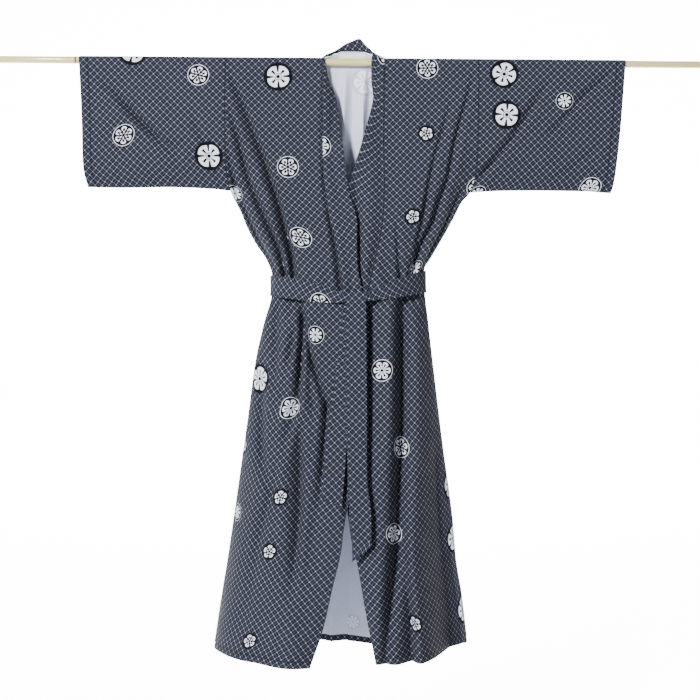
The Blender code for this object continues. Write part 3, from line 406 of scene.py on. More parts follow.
LEFT_BACK_FOLDS = {
    "neck_fold": (
        (14, 31, 0, 10, 7), (45, 30, 9, 12, 6), (140, 27, 14, 13, 6), (240, 23, 9, 12, 6),
        (330, 18, 0, 10, 7),
    ),
    "blade_crease": (
        (70, 286, 0, 5, 8), (140, 260, 5, 5, 8), (240, 226, 7, 5, 9), (330, 196, 10, 5, 9),
        (430, 154, 12, 5, 10), (508, 120, 15, 6, 10), (552, 116, 0, 6, 10),
    ),
    "underarm_crease": (
        (170, 288, 0, 5, 7), (270, 252, 5, 5, 7), (370, 206, 8, 5, 8), (470, 158, 9, 5, 8),
        (530, 142, 0, 5, 8),
    ),
    "spine_crease": (
        (260, 42, 0, 6, 8), (350, 42, 4, 6, 8), (430, 42, 8, 6, 8), (512, 44, 10, 7, 8),
        (552, 44, 0, 7, 8),
    ),
    "waist_crease": (
        (360, 88, 0, 5, 7), (440, 86, 5, 5, 7), (515, 84, 7, 5, 7), (550, 84, 0, 5, 7),
    ),
    "seat_crease": (
        (545, 78, 0, 8, 10), (590, 80, 12, 8, 10), (680, 78, 12, 10, 12), (800, 74, 13, 20, 20),
        (1000, 66, 18, 32, 32), (1411, 56, 44, 52, 50),
    ),
    "hip_crease": (
        (548, 136, 0, 7, 9), (595, 140, 10, 7, 9), (720, 150, 7, 9, 11), (880, 160, 0, 11, 13),
    ),
    "seat_inner": (
        (548, 18, 0, 6, 7), (590, 18, 7, 6, 7), (690, 20, 5, 8, 9), (800, 24, 0, 9, 10),
    ),
    "hem_wave": (
        (900, 190, 0, 32, 32), (1200, 204, 10, 34, 34), (1411, 212, 16, 36, 36),
    ),
    "hem_fold": (
        (960, 128, 0, 14, 16), (1150, 132, 8, 16, 18), (1411, 138, 13, 18, 20),
    ),
}

# Gathers that the belt draws in: face, pitch, depth, how far they run up and down
GATHERS = {
    "front": (31.0, 3.4, 52.0, 84.0),
    "back": (27.0, 5.2, 96.0, 150.0),
}
BELT_LEVEL = 530.0
BELT_HALF = 22.0
# They fan out away from the belt, start at a turn of their own on each half, wander by
# this part of a turn over this length, and differ in depth and in how far they run
GATHER_FAN = 0.16
GATHER_START = {"right": 0.4, "left": 1.9}
GATHER_WANDER = 0.9
WANDER_LENGTH = 41.0
GATHER_UNEVEN = 0.38
UNEVEN_LENGTH = 23.0
UNEVEN_TURN = 2.6
GATHER_SHORTEN = 1.25
SHORTEN_UNEVEN = 0.5
SHORTEN_LENGTH = 17.0

# The valley of a fold, and the low ridges that the cloth throws up beside it: their
# share of its depth, the most they rise, and where they lie and how wide they are, in
# half widths of the fold. Folds die out over this width against the side seam.
VALLEY_POWER = 1.5
RIDGE_SHARE = 0.15
RIDGE_MOST = 2.0
RIDGE_AT = 2.2
RIDGE_WIDTH = 0.8
FOLD_FADE = 16.0

# Slack of hanging cloth, as two products of waves: its height, then for each wave its
# length across and down in millimetres to a radian and its share of the panel's start
SLACK_WAVES = (
    (0.85, ((27.0, 83.0, 1.0), (-49.0, 61.0, 2.2))),
    (0.28, ((11.5, -34.0, 3.1), (19.0, 23.0, 1.0))),
)
SLACK_START = {"front": 0.8, "back": 2.9}
SLACK_HALF = 1.7
SLACK_AT_ROD = 0.35
SLACK_FULL = 260.0

# How much the hem rises from its lowest line: along the whole panel, and at the side,
# which is reached this far out. The powers keep the rise near the side and the hem.
HEM_RISE = {
    ("right", "front"): (0.0, 11.0),
    ("right", "back"): (11.0, 11.0),
    ("left", "front"): (3.0, 20.0),
    ("left", "back"): (11.0, 20.0),
}
HEM_SIDE = 300.0
HEM_SIDE_POWER = 3
HEM_DROP_POWER = 5

# Collar band round the neck. "along" runs up the front seam, through 0 on top of the
# shoulder, to minus the half width of the neck at the middle of the back
NECK_COLUMNS = ("along", "free_x", "free_y", "free_z")
RIGHT_NECK = (
    (-74.0, 0.0, 18.0, 55.0), (-55.0, 14.5, 16.5, 48.5), (-37.0, 28.0, 12.5, 38.5),
    (-18.0, 46.0, 4.5, 25.5), (0.0, 62.0, -4.0, 17.0), (8.0, 64.0, -9.5, 12.5),
    (QUARTER, 64.5, -13.0, 0.0),
)
LEFT_NECK = (
    (-74.0, 0.0, 17.0, 55.0), (-55.0, 16.5, 19.0, 61.0), (-37.0, 31.0, 16.0, 46.0),
    (-18.0, 41.5, 8.0, 34.0), (0.0, 46.0, -0.5, 24.5), (8.0, 47.0, -9.0, 16.5),
    (QUARTER, 45.0, -15.0, 0.0),
)
BAND_COLUMNS = 24

# Sleeves: half depths of the tube down the armhole and down the cuff, as shares of
# the drop to its lower fold, which is a half round below the last of them
SLEEVE_FOOT = 0.985
FOLD_RADIUS = 3.2
SLEEVE_COLUMNS = ("share", "armhole", "cuff")
SLEEVE_DEPTHS = (
    (0.0, 10.2, 10.2), (0.12, 15.5, 12.0), (0.30, 21.0, 14.0), (0.50, 25.0, 16.5),
    (0.68, 24.5, 16.5), (0.84, 18.0, 13.5), (0.94, 9.0, 8.0),
    (SLEEVE_FOOT, FOLD_RADIUS, FOLD_RADIUS),
)
SLEEVE_SHARES = np.linspace(0.0, SLEEVE_FOOT, 64)
SLEEVE_STEPS = 84
SLEEVE_LENGTH = 350.0
CUFF_TURN = 20.0
# Its drags die out over this share of the drop, under the rod and above this share
DRAG_FADE = 0.1
DRAGS_END = 0.97
CUFF_COLUMNS = ("drop", "cuff_x")
LOWER_COLUMNS = ("share", "lower")
RIGHT_CUFF = ((0, 647), (142, 638), (258, 634), (303, 624))
LEFT_CUFF = ((0, 647), (121, 638), (220, 629), (293, 620), (309, 614))
RIGHT_LOWER = ((0.0, 309), (0.12, 305), (0.4, 301.5), (0.75, 303.5), (1.0, 303))
LEFT_LOWER = ((0.0, 309), (0.2, 304.5), (0.5, 303), (0.8, 304), (1.0, 308))
RIGHT_SLEEVE_FOLDS = {
    "long_drag": (
        (20, 622, 0, 6, 8), (76, 561, 9, 6, 10), (126, 514, 12, 6, 11), (168, 471, 13, 6, 11),
        (200, 427, 11, 6, 10), (228, 392, 0, 6, 9),
    ),
    "short_drag": (
        (90, 552, 0, 5, 7), (115, 530, 7, 5, 8), (156, 488, 9, 5, 9), (203, 441, 9, 5, 9),
        (245, 392, 0, 5, 8),
    ),
    "armhole_drag": (
        (120, 380, 0, 8, 8), (190, 350, 6, 7, 9), (262, 318, 8, 7, 9), (290, 305, 2, 8, 8),
    ),
    "cuff_drag": (
        (262, 640, 3, 6, 9), (290, 589, 6, 6, 9), (298, 566, 0, 7, 8),
    ),
    "top_dip": (
        (8, 470, 0, 26, 26), (50, 452, 2.5, 30, 30), (120, 420, 0, 30, 30),
    ),
}
LEFT_SLEEVE_FOLDS = {
    "cuff_drag": (
        (6, 630, 0, 8, 6), (39, 595, 7, 10, 6), (79, 549, 9, 10, 6), (118, 517, 9, 10, 6),
        (156, 484, 7, 10, 6), (190, 446, 0, 8, 6),
    ),
    "long_drag": (
        (25, 485, 0, 8, 6), (79, 445, 8, 10, 6), (131, 412, 11, 10, 6), (171, 387, 12, 10, 6),
        (213, 355, 12, 10, 6), (269, 306, 7, 9, 6), (290, 288, 2, 8, 6),
    ),
    "armhole_drag": (
        (225, 352, 0, 8, 6), (241, 337, 7, 9, 6), (266, 316, 9, 9, 6), (288, 297, 2, 8, 6),
    ),
    "low_drag": (
        (180, 600, 0, 9, 9), (236, 540, 4, 9, 9), (276, 470, 3, 9, 9), (292, 430, 0, 9, 9),
    ),
}

# Belt: its upper and lower edge round the waist, as shares of each quarter from the
# side (0) to the middle (1), and how it bunches where it passes through its knot
BELT_COLUMNS = ("share", "top", "low")
BELT_EDGES = {
    ("right", "front"): ((0.0, 508, 555), (0.35, 516, 565), (0.62, 530, 573), (0.80, 546, 574),
                         (0.90, 555, 572), (1.0, 557, 571)),
    ("right", "back"): ((0.0, 508, 555), (0.5, 501, 549), (1.0, 498, 546)),
    ("left", "back"): ((0.0, 493, 544), (0.5, 495, 544), (1.0, 498, 546)),
    ("left", "front"): ((0.0, 493, 544), (0.3, 503, 553), (0.6, 524, 563), (0.80, 543, 568),
                        (0.90, 554, 570), (1.0, 557, 571)),
}
BELT_QUARTER_STEPS = 60
BELT_ROWS = 12
# How far it stands off the cloth and how thick it is, there and in its knot, where the
# knot's middle is, and the shares of a front quarter where it starts and is full
BELT_STANDOFF = 1.8
BELT_WALL = 2.4
KNOT_MIDDLE = 12.0
KNOT_STANDOFF = 4.6
KNOT_WALL = 4.6
KNOT_STARTS = 0.72
KNOT_FULL = 0.87

# Tails: edges of each tail at each drop and how far its inner face stands off the robe
TAIL_COLUMNS = ("drop", "left_x", "right_x", "standoff")
FRONT_TAIL = (
    (560, -10, 35, 9.6), (600, -11.5, 36.5, 8.8), (700, -10.5, 37.5, 7.6), (800, -8.5, 39, 7.2),
    (900, -6, 40, 7.0), (985, -2.5, 41.5, 7.4), (1020, -0.5, 46, 8.0), (1061, 2, 51, 9.0),
    (1128, 9, 52, 10.0),
)
REAR_TAIL = (
    (575, -15, 30, 1.9), (650, -22, 24, 2.0), (720, -30, 17, 2.2), (787, -38, 9.5, 2.4),
    (847, -48, 0, 2.6), (900, -54, -6.5, 2.8), (960, -56.5, -9.5, 3.0), (1024, -61, -15, 3.2),
)
# How much longer a tail is at its left corner, or at its right one with a minus, and
# over how many rows its end takes on that slant
FRONT_TAIL_SLANT = 37.0
REAR_TAIL_SLANT = -19.0
SLANT_ROWS = 3
TAIL_ROWS = 120
TAIL_SPLITS = 14
TAIL_WALL = 2.4
# Hook of the front tail over the belt: how far its hidden leg stands off the robe, how
# long that leg is, and the drop and angles of its turn
HOOK_STANDOFF = 1.7
HOOK_LEG = 13.0
HOOK_DROP = 551.5
HOOK_ANGLES = tuple(range(12, 180, 12))

# Label inside the back of the neck, plain. Its cut is a little taller than its height,
# because it leans.
LABEL_HALF = 30.0
LABEL_HEIGHTS = (9.0, 22.5)
LABEL_WALL = 0.8
LABEL_GAP = 0.3
LABEL_ROWS = 8
LABEL_STEPS = 24

# Folded edges of the collar band: how far in they are rounded, in half thicknesses, and
# how much they thin
EDGE_REACH = 2.5
EDGE_THINNING = 0.75

# Rod: its chamfered ends, and its outline along each joint, as places and rises
ROD_CHAMFER = 0.6
JOINT_OUTLINE = (
    (-14, 0.0), (-5, 0.25), (-2.2, 0.45), (-0.8, -0.35),
    (0.8, -0.35), (2.2, 0.55), (6, 0.2), (16, 0.0),
)


class Half:
    """The tables of one half of the robe and the side of the middle it lies on."""

    def __init__(self, name, sign, sides, edges, tuck, neck, cuff, lower, folds):
        self.name = name
        self.sign = sign
        self.sides = named_columns(sides, SIDE_COLUMNS)
        self.edges = named_columns(edges, EDGE_COLUMNS)
        self.tuck = named_columns(tuck, TUCK_COLUMNS)
        self.neck = named_columns(neck, NECK_COLUMNS)
        self.cuff = named_columns(cuff, CUFF_COLUMNS)
        self.lower = named_columns(lower, LOWER_COLUMNS)
        self.folds = {}
        for face, rows in folds.items():
            self.folds[face] = [named_columns(stations, FOLD_COLUMNS) for stations in rows.values()]


def named_columns(rows, names):
    """A table's columns by name."""
    return {name: np.array(column, float) for name, column in zip(names, zip(*rows))}


def read_curve(stations, values, at):
    """Read a smooth curve through a column's values, which never overshoots them."""
    at = np.clip(at, stations[0], stations[-1])
    rise = np.diff(values) / np.diff(stations)
    slope = np.zeros(len(values))
    slope[0] = rise[0]
    slope[-1] = rise[-1]
    product = rise[1:] * rise[:-1]
    total = np.where(product > 0, rise[1:] + rise[:-1], 1.0)
    slope[1:-1] = np.where(product > 0, 2 * product / total, 0.0)
    k = np.clip(np.searchsorted(stations, at, side="right") - 1, 0, len(stations) - 2)
    width = stations[k + 1] - stations[k]
    t = (at - stations[k]) / width
    start = (1 + 2 * t) * (1 - t) ** 2 * values[k] + t * (1 - t) ** 2 * width * slope[k]
    end = t * t * (3 - 2 * t) * values[k + 1] + t * t * (t - 1) * width * slope[k + 1]
    return start + end


def read(table, column, at):
    """Read a named column of a table at a drop or a share."""
    stations = table[next(iter(table))]
    return read_curve(stations, table[column], at)


def ease(t):
    """Smooth step from 0 to 1."""
    t = np.clip(t, 0.0, 1.0)
    return t * t * (3 - 2 * t)


def fold_depth(folds, out, drop):
    """How far the folds draw the cloth in at a place on the panel."""
    total = np.zeros_like(np.asarray(out, float))
    for fold in folds:
        inside = (drop >= fold["drop"][0]) & (drop <= fold["drop"][-1])
        depth = read(fold, "depth", drop) * inside
        away = out - read(fold, "out", drop)
        half_width = np.where(away > 0, read(fold, "outer", drop), read(fold, "inner", drop))
        part = np.abs(away) / half_width
        ridge = np.minimum(depth * RIDGE_SHARE, RIDGE_MOST)
        valley = depth * np.exp(-part ** VALLEY_POWER)
        total = total + valley - ridge * np.exp(-(((part - RIDGE_AT) / RIDGE_WIDTH) ** 2))
    return total


def gather_depth(half, face, out, drop):
    """Small pleats that the belt draws in, uneven and dying out above and below it."""
    pitch, depth, up, down = GATHERS[face]
    away = drop - BELT_LEVEL
    reach = up if away < 0 else down
    share = np.clip((abs(away) - BELT_HALF) / reach, 0.0, 1.0)
    if share >= 1.0:
        return 0.0
    fan = 1 + GATHER_FAN * share * (1 if away > 0 else -1)
    start = GATHER_START[half.name]
    wander = GATHER_WANDER * np.sin(out / WANDER_LENGTH + start)
    turn = math.tau * out / (pitch * fan) + start + wander
    uneven = 1 + GATHER_UNEVEN * (np.sin(out / UNEVEN_LENGTH + UNEVEN_TURN * start) - 1)
    shorten = GATHER_SHORTEN + SHORTEN_UNEVEN * np.sin(out / SHORTEN_LENGTH + start)
    length = 1 - ease(share * shorten)
    return depth * uneven * length * (1 + np.cos(turn)) / 2


def slack(half, face, out, drop):
    """Soft unevenness of hanging cloth, a millimetre or so."""
    start = half.sign * SLACK_HALF + SLACK_START[face]
    loose = SLACK_AT_ROD + (1 - SLACK_AT_ROD) * float(ease(drop / SLACK_FULL))
    total = 0.0
    for height, waves in SLACK_WAVES:
        for across, down, share in waves:
            height = height * np.sin(out / across + drop / down + share * start)
        total = total + height
    return loose * total


def armhole_depth(drop):
    """How far the armhole seam stands from the rod's plane."""
    table = named_columns(SLEEVE_DEPTHS, SLEEVE_COLUMNS)
    return read(table, "armhole", drop / UNDERARM)


def panel_depth(half, face, out, drop, plain=False):
    """Distance of the cloth's outer face in front of or behind the rod's plane.

    plain leaves out the folds and the tuck under the other half.
    """
    side = half.sides
    full = read(side, face, drop)
    side_y = read(side, "side_y", drop)
    at_side = FACING[face] * side_y
    reach = np.clip((read(side, "side_x", drop) - out) / read(side, "roll", drop), 0.0, 1.0)
    curl = read(side, "curl", drop)
    turned = (1 - (1 - reach) ** curl) ** (1 / curl)
    closed = at_side + (full - at_side) * turned
    mouth = armhole_depth(min(drop, UNDERARM))
    opened = mouth + (full - mouth) * ease(reach)
    share = ease((drop - UNDERARM + MOUTH_ABOVE) / MOUTH_OVER)
    depth = opened + (closed - opened) * share
    if drop > UNDERARM:
        on_seam = out > read(side, "side_x", drop) - ON_SEAM
        depth = np.where(on_seam, np.minimum(depth, closed), depth)
    if plain:
        return depth
    drawn = fold_depth(half.folds[face], out, drop) + gather_depth(half, face, out, drop)
    drawn = drawn + slack(half, face, out, drop)
    depth = depth - drawn * fold_fade(half, out, drop)
    if face == "front":
        depth = depth - read(half.tuck, "tuck", drop) * ease((TUCK_FROM - out) / TUCK_OVER)
    return depth


def fold_fade(half, out, drop):
    """Folds die out against the side seam, which stays on its own line."""
    return ease((read(half.sides, "side_x", drop) - out) / FOLD_FADE)


def section(half, face, drop, edge, plain=False):
    """Fine section of a panel from its side to an edge, as (out, y) points."""
    side_x = float(read(half.sides, "side_x", drop))
    t = np.linspace(0.0, 1.0, DENSE)
    crowded = (1 - np.cos(t * CROWDING)) / (1 - math.cos(CROWDING))
    out = side_x - (side_x - edge) * crowded
    depth = panel_depth(half, face, out, drop, plain)
    if drop > UNDERARM:
        at_seam = FACING[face] * float(read(half.sides, "side_y", drop)) + SEAM_GAP / 2
        depth = np.maximum(depth, at_seam)
    return np.column_stack((out, FACING[face] * depth))


def spread(points, count):
    """Points at equal steps along a fine section."""
    steps = np.linalg.norm(np.diff(points, axis=0), axis=1)
    run = np.concatenate(((0.0,), np.cumsum(steps)))
    at = np.linspace(0.0, run[-1], count + 1)
    return np.column_stack((np.interp(at, run, points[:, 0]), np.interp(at, run, points[:, 1])))


def hem_lift(half, face, out, drop):
    """How far a row is raised because the hem isn't level."""
    whole, at_side = HEM_RISE[(half.name, face)]
    rise = whole + at_side * np.clip(out / HEM_SIDE, 0.0, 1.0) ** HEM_SIDE_POWER
    return rise * (drop / HEM) ** HEM_DROP_POWER


def neckline(out):
    """Back neckline from the shoulder to the middle, as (y, height) over the rod."""
    share = ease((NECK_HALF - np.abs(out)) / NECK_CURVE)
    return NECKLINE_BACK * share, HANG_RADIUS + NECKLINE_RISE * share


def panel_row(half, face, drop, plain=False):
    """One row of a half's outer points, side to middle, as (out, y, height)."""
    seam_x = float(read(half.edges, "seam_x", drop if face == "front" else 0.0))
    free_x = float(read(half.edges, "free_x", drop)) if face == "front" else 0.0
    panel = spread(section(half, face, drop, seam_x, plain), PANEL_COLUMNS)
    strip_out = np.linspace(seam_x, free_x, STRIP_COLUMNS + 1)[1:]
    strip_y = FACING[face] * panel_depth(half, face, strip_out, drop, plain)
    row = np.vstack((panel, np.column_stack((strip_out, strip_y))))
    height = -drop + hem_lift(half, face, row[:, 0], drop)
    return np.column_stack((row, height))


def shoulder_row(half, top_row, angle):
    """A row over the rod: its columns leave the row at the rod's height."""
    out = top_row[:, 0]
    turn = math.radians(angle)
    y = np.full(len(out), HANG_RADIUS * math.cos(turn)) * np.sign(top_row[:, 1])
    height = np.full(len(out), HANG_RADIUS * math.sin(turn))
    line_y, line_height = neckline(out)
    share = ease((NECK_HALF - out) / (NECK_CURVE / 2))
    part = angle / 90.0
    y = y + (top_row[:, 1] + (line_y - top_row[:, 1]) * part - y) * share
    height = height + (line_height * part - height) * share
    clear = np.maximum(HANG_RADIUS / np.hypot(y, height), 1.0)
    return np.column_stack((out, y * clear, height * clear))


def body_grid(half, plain=False):
    """Outer points of a body half, from the back hem over the shoulder to the front."""
    back = [panel_row(half, "back", drop, plain) for drop in reversed(BODY_DROPS)]
    front = [panel_row(half, "front", drop, plain) for drop in BODY_DROPS]
    rising = [shoulder_row(half, back[-1], angle) for angle in SHOULDER_ANGLES]
    falling = [shoulder_row(half, front[0], angle) for angle in SHOULDER_ANGLES[:-1]]
    grid = np.array(back + rising + falling[::-1] + front)
    grid[:, 0, 0] -= SEAM_GAP / 2
    return grid


def grid_normals(grid):
    """Unit normals of a grid of points, facing away from the rod's plane."""
    along = np.gradient(grid, axis=0)
    across = np.gradient(grid, axis=1)
    normals = np.cross(along, across)
    lengths = np.linalg.norm(normals, axis=2, keepdims=True)
    return normals / np.maximum(lengths, 1e-9)


def armhole_normal(y, height):
    """Normal of the armhole seam in its own plane, the same for body and sleeve."""
    if height >= 0:
        length = math.hypot(y, height)
        return np.array((0.0, y / length, height / length))
    step = 1.0
    drop = min(-height, UNDERARM - step)
    slope = (armhole_depth(drop + step) - armhole_depth(drop - step)) / (2 * step)
    length = math.hypot(1.0, slope)
    return np.array((0.0, math.copysign(1.0, y) / length, slope / length))


def body_normals(grid):
    """Normals of a body half, set square to the seams that it shares."""
    normals = grid_normals(grid)
    at_neck = grid[0, :, 0] < NECK_HALF
    normals[BEHIND, at_neck] = grid_normals(grid[BEHIND])[:, at_neck]
    if normals[TOP_ROW, SHOULDER_COLUMN, 2] < 0:
        normals = -normals
    for row in range(grid.shape[0]):
        height = grid[row, 0, 2]
        if height > -UNDERARM:
            normals[row, 0] = armhole_normal(grid[row, 0, 1], height)
        else:
            normals[row, 0] = (1.0, 0.0, 0.0)
    normals[BEHIND, -1, 0] = 0.0
    normals[BEHIND, -1] /= np.linalg.norm(normals[BEHIND, -1], axis=1)[:, None]
    return normals


def place(half, points):
    """Turn (out, y, height) points of a half into metres in the robe's frame."""
    return points * np.array((half.sign, 1.0, 1.0)) * MM


def sleeve_leg(half, facing, t, plain):
    """One side of a sleeve's ring, from the rod down to the middle of its lower fold."""
    depths = named_columns(SLEEVE_DEPTHS, SLEEVE_COLUMNS)
    drop = SLEEVE_SHARES * float(read(half.lower, "lower", t))
    start = read(half.sides, "side_x", np.minimum(drop, UNDERARM))
    end = read(half.cuff, "cuff_x", drop)
    out = start + (end - start) * t
    at_armhole = read(depths, "armhole", SLEEVE_SHARES)
    at_cuff = read(depths, "cuff", SLEEVE_SHARES)
    depth = at_armhole + (at_cuff - at_armhole) * ease(t)
    if t > 0 and not plain:
        fade = ease(SLEEVE_SHARES / DRAG_FADE) * ease((DRAGS_END - SLEEVE_SHARES) / DRAG_FADE)
        depth = depth - fold_depth(half.folds["sleeve"], out, drop) * fade
    leg = np.column_stack((out, facing * depth, -drop))
    turn = math.pi / 4
    fold_y = facing * FOLD_RADIUS * math.cos(turn)
    fold_height = -drop[-1] - FOLD_RADIUS * math.sin(turn)
    return np.vstack((leg, (out[-1], fold_y, fold_height)))


def sleeve_grid(half, plain=False):
    """Outer points of a sleeve tube: rings from the armhole to the cuff."""
    rings = []
    for t in np.linspace(0.0, 1.0, SLEEVE_STEPS + 1):
        back = sleeve_leg(half, 1.0, t, plain)
        front = sleeve_leg(half, -1.0, t, plain)
        low_point = (back[-1, 0], 0.0, back[-2, 2] - FOLD_RADIUS)
        over = []
        for angle in ROD_ANGLES:
            turn = math.radians(angle)
            over.append((back[0, 0], HANG_RADIUS * math.cos(turn), HANG_RADIUS * math.sin(turn)))
        rings.append(np.vstack((low_point, back[::-1], over, front, low_point)))
    grid = np.array(rings)
    grid[0, :, 0] += SEAM_GAP / 2
    return grid


def ring_normals(grid):
    """Normals of a closed tube whose first and last columns are the same."""
    padded = np.concatenate((grid[:, -2:-1], grid, grid[:, 1:2]), axis=1)
    across = (padded[:, 2:] - padded[:, :-2]) / 2
    along = np.gradient(grid, axis=0)
    normals = np.cross(along, across)
    return normals / np.linalg.norm(normals, axis=2, keepdims=True)


def collar_rows(half):
    """Rows of the collar band on one half, from its lower end to the middle back."""
    rows = []
    drops = [drop for drop in BODY_DROPS if 0 < drop < COLLAR_END]
    for drop in sorted(drops, reverse=True):
        seam_x = float(read(half.edges, "seam_x", drop))
        free_x = float(read(half.edges, "free_x", drop))
        lift = float(read(half.edges, "lift", drop))
        share = np.linspace(0.0, 1.0, BAND_COLUMNS + 1)
        out = seam_x - COLLAR_GAP + (free_x - seam_x + COLLAR_GAP) * share
        y = -panel_depth(half, "front", out, drop) + lift * share ** 2
        height = -drop + hem_lift(half, "front", out, drop)
        rows.append(np.column_stack((out, y, height)))
    seam_x = float(read(half.edges, "seam_x", 0.0))
    for angle in (0.0,) + SHOULDER_ANGLES:
        along = QUARTER * (1 - angle / 90.0)
        turn = math.radians(angle)
        seam = np.array((seam_x, -HANG_RADIUS * math.cos(turn), HANG_RADIUS * math.sin(turn)))
        rows.append(band_row(half, seam, along))
    neck_seam = shoulder_row(half, panel_row(half, "back", 0.0), 90.0)[PANEL_COLUMNS + 1:]
    neck_seam[-1, 0] = 0.0
    for seam in neck_seam:
        rows.append(band_row(half, seam, -NECK_HALF * (1 - seam[0] / seam_x)))
    return rows


def band_row(half, seam, along):
    """A row of the collar band between its seam and its free edge at the neck."""
    free = np.array([float(read(half.neck, column, along)) for column in NECK_COLUMNS[1:]])
    across = free - seam
    start = seam + across / np.linalg.norm(across) * NECK_GAP
    share = np.linspace(0.0, 1.0, BAND_COLUMNS + 1)[:, None]
    return start + (free - start) * share


def belt_quarter(half, face):
    """Belt points on a quarter of the waist, side to middle, as inner and outer rows."""
    edges = named_columns(BELT_EDGES[(half.name, face)], BELT_COLUMNS)
    middle = half.sign * KNOT_MIDDLE if face == "front" else 0.0
    base = spread(section(half, face, BELT_LEVEL, middle, plain=True), BELT_QUARTER_STEPS)
    tangent = np.gradient(base, axis=0)
    normal = np.column_stack((-tangent[:, 1], tangent[:, 0]))
    normal /= np.linalg.norm(normal, axis=1)[:, None]
    if normal[-1, 1] * FACING[face] < 0:
        normal = -normal
    normal[0] = (1.0, 0.0)
    normal[-1] = (0.0, FACING[face])
    inner = []
    outer = []
    for index in range(BELT_QUARTER_STEPS + 1):
        share = index / BELT_QUARTER_STEPS
        top = float(read(edges, "top", share))
        low = float(read(edges, "low", share))
        knot = 0.0
        if face == "front":
            knot = float(ease((share - KNOT_STARTS) / (KNOT_FULL - KNOT_STARTS)))
        stand = BELT_STANDOFF + (KNOT_STANDOFF - BELT_STANDOFF) * knot
        wall = BELT_WALL + (KNOT_WALL - BELT_WALL) * knot
        inner_rows = []
        outer_rows = []
        for drop in np.linspace(top, low, BELT_ROWS + 1):
            out, y = belt_base(half, face, base[index], normal[index], drop)
            near = np.array((out, y)) + normal[index] * stand
            far = near + normal[index] * wall
            inner_rows.append((near[0], near[1], -drop))
            outer_rows.append((far[0], far[1], -drop))
        inner.append(inner_rows)
        outer.append(outer_rows)
    return np.array(inner), np.array(outer)


def belt_base(half, face, point, normal, drop):
    """A waist point moved to another drop, following how the cloth widens there."""
    side_step = float(read(half.sides, "side_x", drop) - read(half.sides, "side_x", BELT_LEVEL))
    depth_step = float(read(half.sides, face, drop) - read(half.sides, face, BELT_LEVEL))
    out = point[0] + side_step * max(normal[0], 0.0)
    y = point[1] + FACING[face] * depth_step * abs(normal[1])
    return out, y


def tail_rows(table, slant, front_depth):
    """Inner points of a hanging tail, with its lower end cut on a slant."""
    tail = named_columns(table, TAIL_COLUMNS)
    first = tail["drop"][0]
    last = tail["drop"][-1]
    rows = []
    for step in range(TAIL_ROWS + 1):
        drop = first + (last - first) * step / TAIL_ROWS
        left_x = float(read(tail, "left_x", drop))
        right_x = float(read(tail, "right_x", drop))
        stand = float(read(tail, "standoff", drop))
        row = []
        for split in range(TAIL_SPLITS + 1):
            share = split / TAIL_SPLITS
            from_short = 1 - share if slant > 0 else share
            at_end = ease((step - TAIL_ROWS + SLANT_ROWS) / SLANT_ROWS)
            lower = drop + abs(slant) * from_short * at_end
            x = left_x + (right_x - left_x) * share
            row.append((x, -(front_depth(drop) + stand), -lower))
        rows.append(row)
    return np.array(rows)


def hook_rows(front_depth):
    """The front tail's start: it comes up behind the belt and turns over its top."""
    tail = named_columns(FRONT_TAIL, TAIL_COLUMNS)
    left_x = float(tail["left_x"][0])
    right_x = float(tail["right_x"][0])
    near = front_depth(HOOK_DROP) + HOOK_STANDOFF
    far = front_depth(HOOK_DROP) + float(tail["standoff"][0])
    centre = (near + TAIL_WALL + far) / 2
    inner_radius = (far - near - TAIL_WALL) / 2
    outer_radius = inner_radius + TAIL_WALL
    across = np.linspace(left_x, right_x, TAIL_SPLITS + 1)
    foot = front_depth(HOOK_DROP + HOOK_LEG) + HOOK_STANDOFF
    inner = [[(x, -(foot + TAIL_WALL), -(HOOK_DROP + HOOK_LEG)) for x in across]]
    outer = [[(x, -foot, -(HOOK_DROP + HOOK_LEG)) for x in across]]
    for angle in (0.0,) + HOOK_ANGLES:
        turn = math.radians(angle)
        for rows, radius in ((inner, inner_radius), (outer, outer_radius)):
            y = -(centre - radius * math.cos(turn))
            height = -HOOK_DROP + radius * math.sin(turn)
            rows.append([(x, y, height) for x in across])
    return np.array(inner), np.array(outer)


def cloth_uv(grid, seam_column, top_row):
    """Cloth coordinates of a grid in metres: across from a seam, down from a row."""
    across = np.zeros(grid.shape[:2])
    across[:, 1:] = np.cumsum(np.linalg.norm(np.diff(grid, axis=1), axis=2), axis=1)
    across -= across[:, seam_column][:, None]
    down = np.zeros(grid.shape[:2])
    down[1:] = np.cumsum(np.linalg.norm(np.diff(grid, axis=0), axis=2), axis=0)
    down -= down[top_row][None, :]
    return np.stack((across, down), axis=2) * MM


def print_places(half, outer):
    """Cloth coordinates of a body half, most of them read off its shape without folds."""
    plain = body_grid(half, plain=True)
    straight = cloth_uv(plain, PANEL_COLUMNS, TOP_ROW)
    uv = cloth_uv(outer, PANEL_COLUMNS, TOP_ROW)
    for row in range(len(outer)):
        at = -outer[row, :, 0]
        known = -plain[row, :, 0]
        across = np.interp(at, known, straight[row, :, 0])
        uv[row, :, 0] = across + (uv[row, :, 0] - across) * PRINT_IN_FOLDS
        uv[row, :, 1] = np.interp(at, known, straight[row, :, 1])
    uv[:, PANEL_COLUMNS + 1:, 1] = uv[:, PANEL_COLUMNS:PANEL_COLUMNS + 1, 1]
    uv[..., 0] *= half.sign
    if half.name == "left":
        uv[..., 0] += LEFT_PRINT_SHIFT * MM
    return uv


